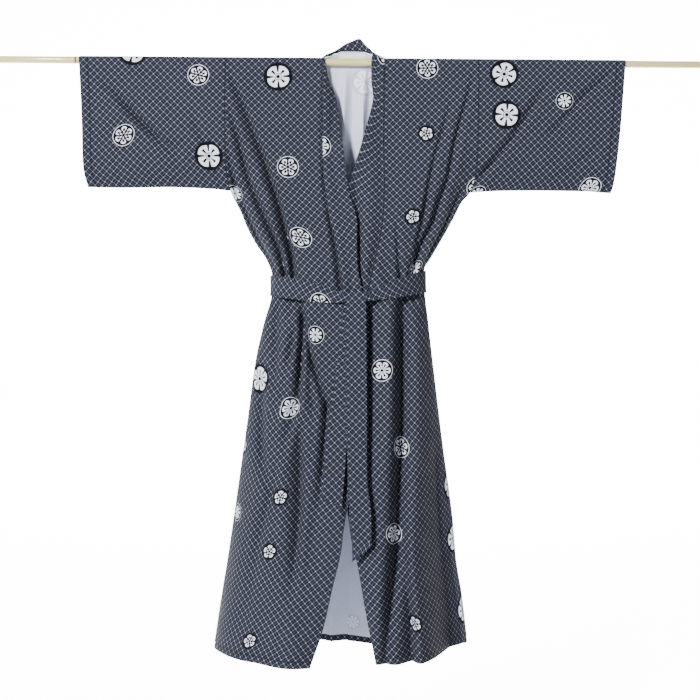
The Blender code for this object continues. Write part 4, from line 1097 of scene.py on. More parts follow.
def make_shell(name, outer, inner, uv, skipped=None, joined=False, printed_inside=None, seam=None):
    """Thin closed shell between two grids of points, printed outside and pale inside.

    printed_inside tells which inner rows show the print too, as a turned hem does, and
    seam how far each point is from the nearest seam or hem line, in millimetres.
    """
    rows, columns = outer.shape[:2]
    if seam is None:
        seam = np.full((rows, columns), NO_SEAM)
    bm = bmesh.new()
    bmesh.ops.create_grid(bm, x_segments=columns - 1, y_segments=rows - 1, size=0.5)
    place_index = bm.verts.layers.int.new("place_index")
    from_seam = bm.verts.layers.float.new("from_seam")
    uv_layer = bm.loops.layers.uv.new("cloth")
    for index, vertex in enumerate(bm.verts):
        vertex[place_index] = index
        vertex.co = outer[divmod(index, columns)]
        vertex[from_seam] = min(seam[divmod(index, columns)], NO_SEAM)
    for face in bm.faces:
        for loop in face.loops:
            loop[uv_layer].uv = uv[divmod(loop.vert[place_index], columns)]
    if skipped is not None:
        gone = []
        for face in bm.faces:
            corner = min(vertex[place_index] for vertex in face.verts)
            if skipped(*divmod(corner, columns)):
                gone.append(face)
        bmesh.ops.delete(bm, geom=gone, context="FACES")
    if joined:
        bmesh.ops.remove_doubles(bm, verts=bm.verts[:], dist=WELD)
    kept = bm.faces[:]
    made = bmesh.ops.extrude_face_region(bm, geom=kept, use_keep_orig=True)
    inside = {element for element in made["geom"] if isinstance(element, bmesh.types.BMVert)}
    for vertex in inside:
        vertex.co = inner[divmod(vertex[place_index], columns)]
    for element in made["geom"]:
        if isinstance(element, bmesh.types.BMFace):
            row = min(divmod(vertex[place_index], columns)[0] for vertex in element.verts)
            if printed_inside is None or not printed_inside(row):
                element.material_index = 1
    bmesh.ops.recalc_face_normals(bm, faces=bm.faces[:])
    return finish_object(name, bm)


def every_row(row):
    """Rows that show the print inside too, on a piece that is the same on both faces."""
    return True


def finish_object(name, bm):
    """Turn a finished bmesh into a smooth-shaded object of the scene."""
    mesh = bpy.data.meshes.new(name)
    bm.to_mesh(mesh)
    bm.free()
    mesh.shade_smooth()
    mesh.set_sharp_from_angle(angle=math.radians(SHARP_ANGLE))
    thing = bpy.data.objects.new(name, mesh)
    bpy.context.scene.collection.objects.link(thing)
    return thing


def dress(thing, node, finishes):
    """Give a shell its finishes, and let it stand for its node."""
    for finish in finishes:
        thing.data.materials.append(finish)
    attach(thing, "root")
    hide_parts(node)


def make_body_half(half, finishes):
    """Shell of a body half."""
    outer = body_grid(half)
    normals = body_normals(outer)
    inner = outer - normals * CLOTH
    above = sum(1 for drop in BODY_DROPS if drop < COLLAR_END)
    lowest = TOP_ROW + len(SHOULDER_ANGLES) + above
    uv = print_places(half, outer)

    def under_collar(row, column):
        return column >= PANEL_COLUMNS and TOP_ROW <= row < lowest

    def hem_turn(row):
        return row < HEM_ROWS or row >= outer.shape[0] - 1 - HEM_ROWS

    across = np.abs(uv[..., 0] - uv[:, :1, 0]) / MM
    down = np.cumsum(np.linalg.norm(np.diff(outer[:, 0], axis=0), axis=1))
    down = np.concatenate(((0.0,), down))[:, None]
    seam = np.minimum(across, np.abs(down - HEM_TURN))
    seam = np.minimum(seam, np.abs(down[-1] - down - HEM_TURN))
    sewn = slice(TOP_ROW, lowest + 1)
    at_collar = np.abs(across[sewn] - across[sewn, PANEL_COLUMNS:PANEL_COLUMNS + 1])
    seam[sewn] = np.minimum(seam[sewn], at_collar)
    shell = make_shell(
        "cloth_body_" + half.name, place(half, outer), place(half, inner), uv, under_collar,
        printed_inside=hem_turn, seam=seam,
    )
    dress(shell, "body_" + half.name, finishes)
    declare_body(outer, lowest)


def declare_body(outer, lowest):
    """Work out the areas of a body half's cells, with the neck corner left out; they are not kept.
    """
    widths = np.linalg.norm(np.diff(outer, axis=1), axis=2)
    heights = np.linalg.norm(np.diff(outer, axis=0), axis=2)
    cells = (widths[:-1] + widths[1:]) / 2 * (heights[:, :-1] + heights[:, 1:]) / 2
    cells[TOP_ROW:lowest, PANEL_COLUMNS:] = 0.0


def make_sleeve(half, finishes):
    """Shell of a sleeve: a flattened tube over the rod, open at the cuff and armhole."""
    outer = sleeve_grid(half)
    normals = ring_normals(outer)
    top = outer.shape[1] // 2
    if normals[1, top, 2] < 0:
        normals = -normals
    for column in range(1, outer.shape[1] - 1):
        y, height = outer[0, column, 1:]
        if height > -UNDERARM * SLEEVE_FOOT:
            normals[0, column] = armhole_normal(y, height)
    normals[0, :, 0] = 0.0
    normals[0] /= np.linalg.norm(normals[0], axis=1)[:, None]
    inner = outer - normals * CLOTH
    down_first = (1, 0, 2)
    straight = cloth_uv(sleeve_grid(half, plain=True).transpose(down_first), 0, top)
    uv = cloth_uv(outer.transpose(down_first), 0, top)
    uv = (straight + (uv - straight) * PRINT_IN_FOLDS).transpose(down_first)
    uv[..., 0] += SLEEVE_PRINT_SHIFT * MM
    uv[..., 0] *= half.sign
    turned = int(SLEEVE_STEPS * (1 - CUFF_TURN / SLEEVE_LENGTH))
    along = np.cumsum(np.linalg.norm(np.diff(outer[:, top], axis=0), axis=1))
    along = np.concatenate(((0.0,), along))
    seam = np.minimum(along, np.abs(along - along[turned]))[:, None] + np.zeros(outer.shape[:2])
    shell = make_shell(
        "cloth_sleeve_" + half.name, place(half, outer), place(half, inner), uv, joined=True,
        printed_inside=lambda row: row >= turned, seam=seam,
    )
    dress(shell, "sleeve_" + half.name, finishes)


def rounded_band(middle, normals, cloth):
    """Outer and inner faces of a doubled band that meet in a round fold at each edge."""
    steps = np.linalg.norm(np.diff(middle, axis=1), axis=2)
    run = np.concatenate((np.zeros((len(middle), 1)), np.cumsum(steps, axis=1)), axis=1)
    from_edge = np.minimum(run, run[:, -1:] - run)
    radius = cloth / 2
    near = np.clip(1 - from_edge / (radius * EDGE_REACH), 0.0, 1.0)
    half_wall = radius * np.sqrt(1 - EDGE_THINNING * near ** 2)
    return middle + normals * half_wall[..., None], middle - normals * half_wall[..., None]


def make_collar(right, left, finishes):
    """Shell of the collar band, up one front, round the neck and down the other."""
    right_rows = [place(right, row) for row in collar_rows(right)]
    left_rows = [place(left, row) for row in collar_rows(left)]
    middle = np.array(right_rows + left_rows[-2::-1]) / MM
    normals = grid_normals(middle)
    lowest = np.argmin(middle[:, 0, 2])
    if normals[lowest, 1, 1] > 0:
        normals = -normals
    outer, inner = rounded_band(middle, normals, BAND_CLOTH)
    uv = cloth_uv(middle, 0, 0)
    uv[..., 0] += COLLAR_PRINT_SHIFT * MM
    from_neckline = np.linalg.norm(middle - middle[:, :1], axis=2)
    shell = make_shell(
        "cloth_collar", outer * MM, inner * MM, uv, printed_inside=every_row,
        seam=from_neckline,
    )
    dress(shell, "collar", finishes)


def make_belt(right, left, finishes):
    """Shell of the belt round the waist, drawn narrow and thick at its knot."""
    quarters = []
    for half, face, backwards in (
        (right, "front", True), (right, "back", False),
        (left, "back", True), (left, "front", False),
    ):
        inner, outer = belt_quarter(half, face)
        inner = place(half, inner)
        outer = place(half, outer)
        if backwards:
            inner = inner[::-1]
            outer = outer[::-1]
        quarters.append((inner, outer))
    inner = np.concatenate([quarter[0][:-1] for quarter in quarters] + [quarters[0][0][:1]])
    outer = np.concatenate([quarter[1][:-1] for quarter in quarters] + [quarters[0][1][:1]])
    rows_first = (1, 0, 2)
    inner = inner.transpose(rows_first)
    outer = outer.transpose(rows_first)
    uv = cloth_uv(outer / MM, 0, 0)
    uv[..., 1] += BELT_PRINT_SHIFT * MM
    shell = make_shell("cloth_belt", outer, inner, uv, joined=True, printed_inside=every_row)
    dress(shell, "belt", finishes)


def make_tails(right, finishes):
    """Shells of both tails: the front one hooks over the belt, the rear hangs under."""
    def front_depth(drop):
        return float(read(right.sides, "front", drop))

    outward = np.array((0.0, -TAIL_WALL, 0.0))
    rear = tail_rows(REAR_TAIL, REAR_TAIL_SLANT, front_depth)
    make_tail("rear", rear + outward, rear, finishes)
    hook_inner, hook_outer = hook_rows(front_depth)
    hang = tail_rows(FRONT_TAIL, FRONT_TAIL_SLANT, front_depth)
    inner = np.concatenate((hook_inner, hang))
    outer = np.concatenate((hook_outer, hang + outward))
    make_tail("front", outer, inner, finishes)


def make_tail(name, outer, inner, finishes):
    """Shell of one tail."""
    uv = cloth_uv(outer, 0, 0)
    uv[..., 0] += TAIL_PRINT_SHIFTS[name] * MM
    shell = make_shell(
        "cloth_belt_tail_" + name, outer * MM, inner * MM, uv, printed_inside=every_row
    )
    dress(shell, "belt_tail_" + name, finishes)


def make_label(finishes):
    """Shell of the plain label under the collar."""
    rows = []
    low, high = LABEL_HEIGHTS
    for height in np.linspace(low, high, LABEL_ROWS):
        row = []
        for step in range(LABEL_STEPS + 1):
            x = LABEL_HALF * (2 * step / LABEL_STEPS - 1)
            top_y, top_height = neckline(x)
            y = HANG_RADIUS + (top_y - HANG_RADIUS) * height / top_height
            row.append((x, y - WALL - LABEL_GAP, height))
        rows.append(row)
    back = np.array(rows)
    front = back - np.array((0.0, LABEL_WALL, 0.0))
    uv = cloth_uv(front, 0, 0)
    shell = make_shell("cloth_label", front * MM, back * MM, uv, printed_inside=every_row)
    dress(shell, "neck_label", finishes)


def make_rod(finish):
    """Bamboo rod: long internodes that swell a little towards each ringed joint."""
    end = ROD_LENGTH / 2
    profile = [(-end, 0.0), (-end, ROD_RADIUS - ROD_CHAMFER), (-end + ROD_CHAMFER, ROD_RADIUS)]
    for joint in ROD_JOINTS:
        profile.extend((joint + away, ROD_RADIUS + rise) for away, rise in JOINT_OUTLINE)
    profile += [(end - ROD_CHAMFER, ROD_RADIUS), (end, ROD_RADIUS - ROD_CHAMFER), (end, 0.0)]
    bm = bmesh.new()
    vertices = [bm.verts.new((x * MM, 0.0, z * MM)) for x, z in profile]
    edges = [bm.edges.new(pair) for pair in zip(vertices, vertices[1:])]
    bmesh.ops.spin(
        bm, geom=vertices + edges, cent=(0, 0, 0), axis=(1, 0, 0), dvec=(0, 0, 0),
        angle=math.tau, steps=ROD_SIDES, use_merge=True,
    )
    bmesh.ops.remove_doubles(bm, verts=bm.verts[:], dist=WELD)
    bmesh.ops.recalc_face_normals(bm, faces=bm.faces[:])
    rod = finish_object("bamboo_rod", bm)
    rod.data.materials.append(finish)
    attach(rod, "root")
    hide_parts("rod")


# ---- Finishes ----

# Kinds of node with their settings, for add()
PLUS = {"kind": "ShaderNodeMath", "operation": "ADD"}
MINUS = {"kind": "ShaderNodeMath", "operation": "SUBTRACT"}
TIMES = {"kind": "ShaderNodeMath", "operation": "MULTIPLY"}
OVER = {"kind": "ShaderNodeMath", "operation": "DIVIDE"}
POWER = {"kind": "ShaderNodeMath", "operation": "POWER"}
ROOT = {"kind": "ShaderNodeMath", "operation": "SQRT"}
UNSIGNED = {"kind": "ShaderNodeMath", "operation": "ABSOLUTE"}
FRACTION = {"kind": "ShaderNodeMath", "operation": "FRACT"}
WHOLE = {"kind": "ShaderNodeMath", "operation": "FLOOR"}
LEAST = {"kind": "ShaderNodeMath", "operation": "MINIMUM"}
MOST = {"kind": "ShaderNodeMath", "operation": "MAXIMUM"}
PAST = {"kind": "ShaderNodeMath", "operation": "GREATER_THAN"}
SINE = {"kind": "ShaderNodeMath", "operation": "SINE"}
COSINE = {"kind": "ShaderNodeMath", "operation": "COSINE"}
BEARING = {"kind": "ShaderNodeMath", "operation": "ARCTAN2"}
SPLIT = {"kind": "ShaderNodeSeparateXYZ"}
NOISE = {"kind": "ShaderNodeTexNoise"}
BUMP = {"kind": "ShaderNodeBump"}
# 0 below its second value and 1 above its third, smooth between them
STEP = {"kind": "ShaderNodeMapRange", "interpolation_type": "SMOOTHSTEP"}
# A blend of colours, with the numbers of its inputs
BLEND = {"kind": "ShaderNodeMix", "data_type": "RGBA", "output": 2}
SHARE, FIRST, SECOND = 0, 6, 7


def linear(colour):
    """An sRGB hex colour as linear RGBA."""
    channels = [int(colour[i:i + 2], 16) / 255 for i in (1, 3, 5)]
    values = [c / 12.92 if c <= 0.04045 else ((c + 0.055) / 1.055) ** 2.4 for c in channels]
    return (*values, 1.0)


def start_finish(name, roughness):
    """A new material, its node tree and its shader."""
    material = bpy.data.materials.new(name)
    material.use_nodes = True
    shader = material.node_tree.nodes["Principled BSDF"]
    shader.inputs["Roughness"].default_value = roughness
    return material, material.node_tree, shader


def fill(socket, value):
    """Set an input to a number or a colour, or link another node's output to it."""
    if isinstance(value, bpy.types.NodeSocket):
        socket.id_data.links.new(value, socket)
    else:
        socket.default_value = value


def add(tree, *values, kind, output=0, inputs=None, **settings):
    """Add a node with its settings and links, and give back one of its outputs.

    values fill its first inputs in turn, and inputs fills others by name or number.
    """
    node = tree.nodes.new(kind)
    for name, value in settings.items():
        setattr(node, name, value)
    for socket, value in zip(node.inputs, values):
        fill(socket, value)
    for name, value in (inputs or {}).items():
        fill(node.inputs[name], value)
    return node.outputs[output]


def cloth_place(tree):
    """The cloth's own coordinates: in metres as one vector, and in millimetres apart."""
    uv = add(tree, kind="ShaderNodeUVMap", uv_map="cloth")
    x = add(tree, uv, **SPLIT)
    across = add(tree, x, 1 / MM, **TIMES)
    down = add(tree, x.node.outputs["Y"], 1 / MM, **TIMES)
    return uv, across, down


# Lattice: the pitch of its squares, the width of its lines, the radius of the dots where
# they cross and the width of the stripe in each square, in millimetres. On such cloth
# that stripe is a hairline, too fine to show from three metres, so it is drawn wider.
LATTICE_PITCH = 11.75
LATTICE_LINE = 0.8
LATTICE_KNOT = 1.15
LATTICE_STRIPE = 0.6
# How far their edges blur inwards and outwards, in millimetres
LINE_BLUR = 0.35
STRIPE_BLUR_IN = 0.2
STRIPE_BLUR_OUT = 0.3
# How white each of them is
LINE_INK = 0.20
KNOT_INK = 0.47
STRIPE_INK = 0.10


def lattice(tree, across, down):
    """Diagonal white lattice whose squares hold a fine stripe, turned in each column."""
    scale = 1 / (LATTICE_PITCH * math.sqrt(2))
    rising = add(tree, add(tree, across, down, **PLUS), scale, **TIMES)
    falling = add(tree, add(tree, across, down, **MINUS), scale, **TIMES)
    from_line = []
    from_middle = []
    for value in (rising, falling):
        aside = add(tree, add(tree, value, **FRACTION), 0.5, **MINUS)
        aside = add(tree, aside, **UNSIGNED)
        from_middle.append(add(tree, aside, LATTICE_PITCH, **TIMES))
        from_line.append(add(tree, add(tree, 0.5, aside, **MINUS), LATTICE_PITCH, **TIMES))
    nearest = add(tree, *from_line, **LEAST)
    edge = LATTICE_LINE / 2
    off_line = add(tree, nearest, edge - LINE_BLUR, edge + LINE_BLUR, **STEP)
    line = add(tree, 1.0, off_line, **MINUS)
    squares = [add(tree, distance, 2.0, **POWER) for distance in from_line]
    from_knot = add(tree, add(tree, *squares, **PLUS), **ROOT)
    off_knot = add(tree, from_knot, LATTICE_KNOT - LINE_BLUR, LATTICE_KNOT + LINE_BLUR, **STEP)
    knot = add(tree, 1.0, off_knot, **MINUS)
    cells = add(tree, add(tree, rising, **WHOLE), add(tree, falling, **WHOLE), **PLUS)
    odd = add(tree, add(tree, add(tree, cells, 0.5, **TIMES), **FRACTION), 2.0, **TIMES)
    even = add(tree, 1.0, odd, **MINUS)
    one_way = add(tree, from_middle[0], odd, **TIMES)
    other_way = add(tree, from_middle[1], even, **TIMES)
    from_stripe = add(tree, one_way, other_way, **PLUS)
    edge = LATTICE_STRIPE / 2
    off_stripe = add(tree, from_stripe, edge - STRIPE_BLUR_IN, edge + STRIPE_BLUR_OUT, **STEP)
    stripe = add(tree, 1.0, off_stripe, **MINUS)
    stripe = add(tree, stripe, STRIPE_INK, **TIMES)
    line = add(tree, line, LINE_INK, **TIMES)
    knot = add(tree, knot, KNOT_INK, **TIMES)
    return add(tree, line, add(tree, knot, stripe, **MOST), **MOST)


# Roundels: one in each square of this size, in millimetres, strayed from its middle by
# up to half this share of it and turned by chance. Their edges blur this far.
ROUNDEL_PITCH = 186.0
ROUNDEL_STRAY = 0.52
ROUNDEL_BLUR = 0.5
# Seven kinds, picked by chance: radius in millimetres, number of petals, how deep the
# notches between them are, how far they reach, where their gaps end and their veins
# start on the wave round the flower, how white their ring is, and how much of each
# petal is left dark inside
ROUNDEL_KINDS = {
    "radius": (34.0, 22.0, 27.0, 20.0, 34.0, 20.0, 27.0),
    "petals": (5, 8, 6, 5, 4, 5, 6),
    "depth": (0.18, 0.16, 0.34, 0.28, 0.16, 0.28, 0.30),
    "reach": (0.82, 0.70, 0.76, 0.76, 0.82, 0.76, 0.76),
    "gap": (0.42, 0.70, 0.54, 0.52, 0.40, 0.52, 0.50),
    "vein": (0.965, 1.00, 0.90, 0.970, 0.960, 0.970, 0.93),
    "ring": (0.0, 0.8, 1.0, 0.0, 0.0, 0.0, 1.0),
    "hollow": (0.0, 0.0, 0.60, 0.62, 0.0, 0.62, 0.0),
}
# Where a roundel's parts begin and end, as shares of its radius
DISC_BAND = (-1.0, 1.0)
RING_BAND = (0.90, 0.95)
HEART_BAND = (0.20, 0.25)
VEIN_BAND = (0.28, 0.60)
STAMEN_BAND = (0.12, 0.36)
PETALS_START = 0.13
PETALS_JOINED = (0.30, 0.36)
# How full the petals are, and how fast gaps, veins and stamens change on the wave
PETAL_POWER = 0.6
GAP_CHANGE = 0.10
VEIN_CHANGE = 0.015
STAMEN_CHANGE = (0.90, 0.93)
# A petal that is darker inside than this has stamens
STAMENS_FROM = 0.1


def choose(tree, value, choices):
    """A number for each band of value between 0 and 1."""
    result = choices[0]
    for index, choice in enumerate(choices[1:], start=1):
        past = add(tree, value, index / len(choices), **PAST)
        change = add(tree, past, choice - choices[index - 1], **TIMES)
        result = add(tree, result, change, **PLUS)
    return result


def band(tree, value, low, high, blur):
    """1 where a value lies between two others, 0 elsewhere, with soft edges."""
    edges = []
    for limit in (low, high):
        start = add(tree, limit, blur, **MINUS)
        end = add(tree, limit, blur, **PLUS)
        edges.append(add(tree, value, start, end, **STEP))
    return add(tree, *edges, **MINUS)


def roundel_place(tree, across, down):
    """A place's roundel: how far and in which direction its middle is, and its kind."""
    column_place = add(tree, across, ROUNDEL_PITCH, **OVER)
    column = add(tree, column_place, **WHOLE)
    stagger = add(tree, add(tree, column, 0.5, **TIMES), **FRACTION)
    row_place = add(tree, add(tree, down, ROUNDEL_PITCH, **OVER), stagger, **PLUS)
    row = add(tree, row_place, **WHOLE)
    cell = add(tree, column, row, kind="ShaderNodeCombineXYZ")
    kind = add(tree, cell, kind="ShaderNodeTexWhiteNoise", noise_dimensions="3D")
    chances = kind.node.outputs["Color"]
    picks = add(tree, chances, kind="ShaderNodeSeparateColor").node.outputs
    away = []
    for place_in_row, pick in zip((column_place, row_place), picks):
        part = add(tree, add(tree, place_in_row, **FRACTION), 0.5, **MINUS)
        stray = add(tree, add(tree, pick, 0.5, **MINUS), ROUNDEL_STRAY, **TIMES)
        away.append(add(tree, add(tree, part, stray, **MINUS), ROUNDEL_PITCH, **TIMES))
    squares = [add(tree, way, way, **TIMES) for way in away]
    distance = add(tree, add(tree, *squares, **PLUS), **ROOT)
    turned = add(tree, picks[2], math.tau, **TIMES)
    bearing = add(tree, add(tree, *reversed(away), **BEARING), turned, **PLUS)
    return distance, bearing, kind


def roundels(tree, across, down):
    """Scattered flower roundels: how far each place is inside one, and its white part."""
    distance, bearing, kind = roundel_place(tree, across, down)
    facts = {name: choose(tree, kind, values) for name, values in ROUNDEL_KINDS.items()}
    share = add(tree, distance, facts["radius"], **OVER)
    blur = add(tree, ROUNDEL_BLUR, facts["radius"], **OVER)
    # The wave round the flower is 1 along each petal and 0 between two of them
    half_petals = add(tree, facts["petals"], 0.5, **TIMES)
    wave = add(tree, add(tree, bearing, half_petals, **TIMES), **COSINE)
    wave = add(tree, add(tree, wave, **UNSIGNED), PETAL_POWER, **POWER)
    notch = add(tree, facts["depth"], add(tree, 1.0, wave, **MINUS), **TIMES)
    edge = add(tree, facts["reach"], add(tree, 1.0, notch, **MINUS), **TIMES)

    inside = band(tree, share, *DISC_BAND, blur)
    ring = add(tree, band(tree, share, *RING_BAND, blur), facts["ring"], **TIMES)
    hollow = add(tree, facts["hollow"], edge, **TIMES)
    petals = band(tree, share, add(tree, PETALS_START, hollow, **MOST), edge, blur)
    gap_end = add(tree, facts["gap"], GAP_CHANGE, **PLUS)
    apart = add(tree, wave, facts["gap"], gap_end, **STEP)
    joined = add(tree, 1.0, add(tree, share, *PETALS_JOINED, **STEP), **MINUS)
    petals = add(tree, petals, add(tree, apart, joined, **MOST), **TIMES)
    vein_end = add(tree, facts["vein"], VEIN_CHANGE, **PLUS)
    vein = add(tree, wave, facts["vein"], vein_end, **STEP)
    vein = add(tree, vein, band(tree, share, *VEIN_BAND, blur), **TIMES)
    dark = add(tree, vein, band(tree, share, *HEART_BAND, blur), **MOST)
    petals = add(tree, petals, add(tree, 1.0, dark, **MINUS), **TIMES)
    stamens = add(tree, wave, *STAMEN_CHANGE, **STEP)
    stamens = add(tree, stamens, band(tree, share, *STAMEN_BAND, blur), **TIMES)
    stamens = add(tree, stamens, add(tree, hollow, STAMENS_FROM, **PAST), **TIMES)
    petals = add(tree, petals, stamens, **MOST)
    return inside, add(tree, ring, petals, **MOST)


# Washed cotton: rough all over, with hardly any gloss and a trace of fuzz
COTTON_ROUGHNESS = 0.86
COTTON_SPECULAR = 0.08
COTTON_SHEEN = 0.02
COTTON_SHEEN_ROUGHNESS = 0.5
TAPE_ROUGHNESS = 0.7
# Threads, in millimetres. Their real spacing of about 0.4 is too fine to show, so they
# are drawn a little coarser.
THREAD_PITCH = 0.55
# Soft patches of noise, with their number to a metre: crumples 38 mm across, slubs
# 1.4 mm, worn print 17 mm, and the cloudy dye of the tape 4 mm
CRUMPLES = {"Scale": 26.0, "Detail": 4.0, "Roughness": 0.62}
SLUBS = {"Scale": 700.0, "Detail": 3.0}
WORN_PRINT = {"Scale": 60.0, "Detail": 3.0}
TAPE_CLOUDS = {"Scale": 240.0, "Detail": 3.0}
# How white worn print is at least, and how much whiter it gets
INK_LEAST = 0.9
INK_RANGE = 0.16
# Relief of threads, slubs, crumples and sewn seams
THREAD_RELIEF = {"Distance": 0.03 * MM, "Strength": 0.5}
SLUB_RELIEF = {"Distance": 0.12 * MM, "Strength": 0.5}
CRUMPLE_RELIEF = {"Distance": 4.5 * MM, "Strength": 0.6}
SEAM_RELIEF = {"Distance": 1.2 * MM, "Strength": 0.8}
# A seam's groove: from its floor to its rim, in millimetres, and how strongly painted shade darkens
# the colour in it
SEAM_GROOVE = (0.3, 2.6)
SEAM_PAINTED_SHADE = 0.55


def seam_groove(tree):
    """1 in the narrow groove along a sewn seam or a hem's stitches, 0 away from it: it shapes the
    seam's bump and its painted shade.
    """
    seam = add(tree, kind="ShaderNodeAttribute", attribute_name="from_seam", output="Fac")
    return add(tree, 1.0, add(tree, seam, *SEAM_GROOVE, **STEP), **MINUS)


def weave_relief(tree, uv, across, down, groove=None):
    """Threads, slubs, crumples and seam grooves of washed cotton as bump."""
    turn = math.tau / THREAD_PITCH
    warp = add(tree, add(tree, across, turn, **TIMES), **SINE)
    weft = add(tree, add(tree, down, turn, **TIMES), **SINE)
    threads = add(tree, warp, weft, **TIMES)
    relief = add(tree, inputs={"Height": threads, **THREAD_RELIEF}, **BUMP)
    slubs = add(tree, inputs={"Vector": uv, **SLUBS}, **NOISE)
    relief = add(tree, inputs={"Height": slubs, "Normal": relief, **SLUB_RELIEF}, **BUMP)
    crumples = add(tree, inputs={"Vector": uv, **CRUMPLES}, **NOISE)
    relief = add(tree, inputs={"Height": crumples, "Normal": relief, **CRUMPLE_RELIEF}, **BUMP)
    if groove is not None:
        level = add(tree, 1.0, groove, **MINUS)
        relief = add(tree, inputs={"Height": level, "Normal": relief, **SEAM_RELIEF}, **BUMP)
    return relief


def printed_cotton(name, ground, line, disc):
    """Plain-woven cotton, piece-dyed round a white lattice and roundels.

    Washed often, so it takes light softly, has no gloss and crumples a little all over.
    """
    material, tree, shader = start_finish(name, COTTON_ROUGHNESS)
    uv, across, down = cloth_place(tree)
    inside, flower = roundels(tree, across, down)
    outside = add(tree, 1.0, inside, **MINUS)
    squares = add(tree, lattice(tree, across, down), outside, **TIMES)
    white = add(tree, squares, flower, **MOST)
    worn = add(tree, inputs={"Vector": uv, **WORN_PRINT}, **NOISE)
    worn = add(tree, INK_LEAST, add(tree, worn, INK_RANGE, **TIMES), **PLUS)
    ink = add(tree, white, worn, **TIMES)
    ground, line, disc = linear(ground), linear(line), linear(disc)
    dyed = add(tree, inputs={SHARE: inside, FIRST: ground, SECOND: disc}, **BLEND)
    colour = add(tree, inputs={SHARE: ink, FIRST: dyed, SECOND: line}, **BLEND)
    groove = seam_groove(tree)
    # Painted shade: in each seam's groove the colour is darkened towards the disc's colour
    shade = add(tree, groove, SEAM_PAINTED_SHADE, **TIMES)
    colour = add(tree, inputs={SHARE: shade, FIRST: colour, SECOND: disc}, **BLEND)
    fill(shader.inputs["Base Color"], colour)
    shader.inputs["Sheen Weight"].default_value = COTTON_SHEEN
    shader.inputs["Sheen Roughness"].default_value = COTTON_SHEEN_ROUGHNESS
    shader.inputs["Specular IOR Level"].default_value = COTTON_SPECULAR
    fill(shader.inputs["Normal"], weave_relief(tree, uv, across, down, groove))
    return material


def plain_cotton(name, colour, shade):
    """Bleached cotton tape, woven narrow: off-white, matt and faintly cloudy."""
    material, tree, shader = start_finish(name, TAPE_ROUGHNESS)
    uv, across, down = cloth_place(tree)
    cloud = add(tree, inputs={"Vector": uv, **TAPE_CLOUDS}, **NOISE)
    colour, shade = linear(colour), linear(shade)
    colour = add(tree, inputs={SHARE: cloud, FIRST: colour, SECOND: shade}, **BLEND)
    fill(shader.inputs["Base Color"], colour)
    fill(shader.inputs["Normal"], weave_relief(tree, uv, across, down))
    return material


# Bamboo, scraped and oiled. Its fibres are stretched to 170 mm along the rod and lie
# 2.4 mm apart round it, and its blotches are 70 mm long, given as numbers to a metre.
BAMBOO_ROUGHNESS = 0.24
BAMBOO_COAT = 0.6
BAMBOO_COAT_ROUGHNESS = 0.12
FIBRE_STRETCH = (6.0, 420.0, 420.0)
FIBRES = {"Scale": 1.0, "Detail": 4.0, "Roughness": 0.6}
FIBRE_RELIEF = {"Distance": 0.2 * MM, "Strength": 0.5}
BLOTCHES = {"Scale": 14.0, "Detail": 3.0}
BLOTCH_CHANGE = (0.45, 0.75)
# Round each joint: how far the stain and the dark ring reach, and how strong they are
JOINT_STAIN = (1.4 * MM, 9.0 * MM)
JOINT_RING = (1.2 * MM, 2.6 * MM)
STAIN_SHARE = 0.5
RING_SHARE = 0.9


def bamboo(name, pale, fibre, blotch, stain, ring):
    """Oiled bamboo: pale, softly glossy along its fibres, stained round its joints."""
    material, tree, shader = start_finish(name, BAMBOO_ROUGHNESS)
    place_on_rod = add(tree, kind="ShaderNodeTexCoord", output="Object")
    stretched = add(
        tree, kind="ShaderNodeMapping", inputs={"Vector": place_on_rod, "Scale": FIBRE_STRETCH})
    fibres = add(tree, inputs={"Vector": stretched, **FIBRES}, **NOISE)
    blotches = add(tree, inputs={"Vector": place_on_rod, **BLOTCHES}, **NOISE)
    blotches = add(tree, blotches, *BLOTCH_CHANGE, **STEP)
    along = add(tree, place_on_rod, **SPLIT)
    nearest = 1.0
    for joint in ROD_JOINTS:
        away = add(tree, add(tree, along, joint * MM, **MINUS), **UNSIGNED)
        nearest = add(tree, away, nearest, **LEAST)
    colour = linear(pale)
    layers = [(fibres, fibre), (blotches, blotch)]
    for reach, share, tint in ((JOINT_STAIN, STAIN_SHARE, stain), (JOINT_RING, RING_SHARE, ring)):
        near = add(tree, 1.0, add(tree, nearest, *reach, **STEP), **MINUS)
        layers.append((add(tree, near, share, **TIMES), tint))
    for share, tint in layers:
        colour = add(tree, inputs={SHARE: share, FIRST: colour, SECOND: linear(tint)}, **BLEND)
    fill(shader.inputs["Base Color"], colour)
    shader.inputs["Coat Weight"].default_value = BAMBOO_COAT
    shader.inputs["Coat Roughness"].default_value = BAMBOO_COAT_ROUGHNESS
    relief = add(tree, inputs={"Height": fibres, **FIBRE_RELIEF}, **BUMP)
    fill(shader.inputs["Normal"], relief)
    return material


def make_finishes():
    """Every finish by its name."""
    return {
        "printed_cotton": printed_cotton("printed_cotton", "#171a27", "#e0e4f5", "#090a10"),
        "cotton_reverse": printed_cotton("cotton_reverse", "#c4c9dc", "#e6e8f2", "#b2b8d0"),
        "label_tape": plain_cotton("label_tape", "#f2f1ec", "#dcdbd6"),
        "bamboo": bamboo("bamboo", "#ece2ae", "#bfae6a", "#d3c584", "#a58d58", "#3b3322"),
    }


# ---- Studio, in metres ----

# Strength of the light from all round
AIR = 0.10
# Backdrop: height of its floor, distance of its wall, radius of the curve between them,
# where it starts and ends, and half its width
FLOOR_HEIGHT = -1.78
WALL_DISTANCE = 8.0
CURVE_RADIUS = 2.0
CURVE_STEPS = 12
FLOOR_START = -6.0
WALL_TOP = 8.0
SWEEP_HALF_WIDTH = 9.0
# Its lit part: how far it reaches aside, where it begins behind the robe and where it
# ends up the wall, each from one edge of its blur to the other, and how bright it is
LIT_ASIDE = (4.0, 3.2)
LIT_BEHIND = (0.2, 1.0)
LIT_UP = (4.2, 3.0)
LIT_STRENGTH = 13.5
PAPER_ROUGHNESS = 0.9
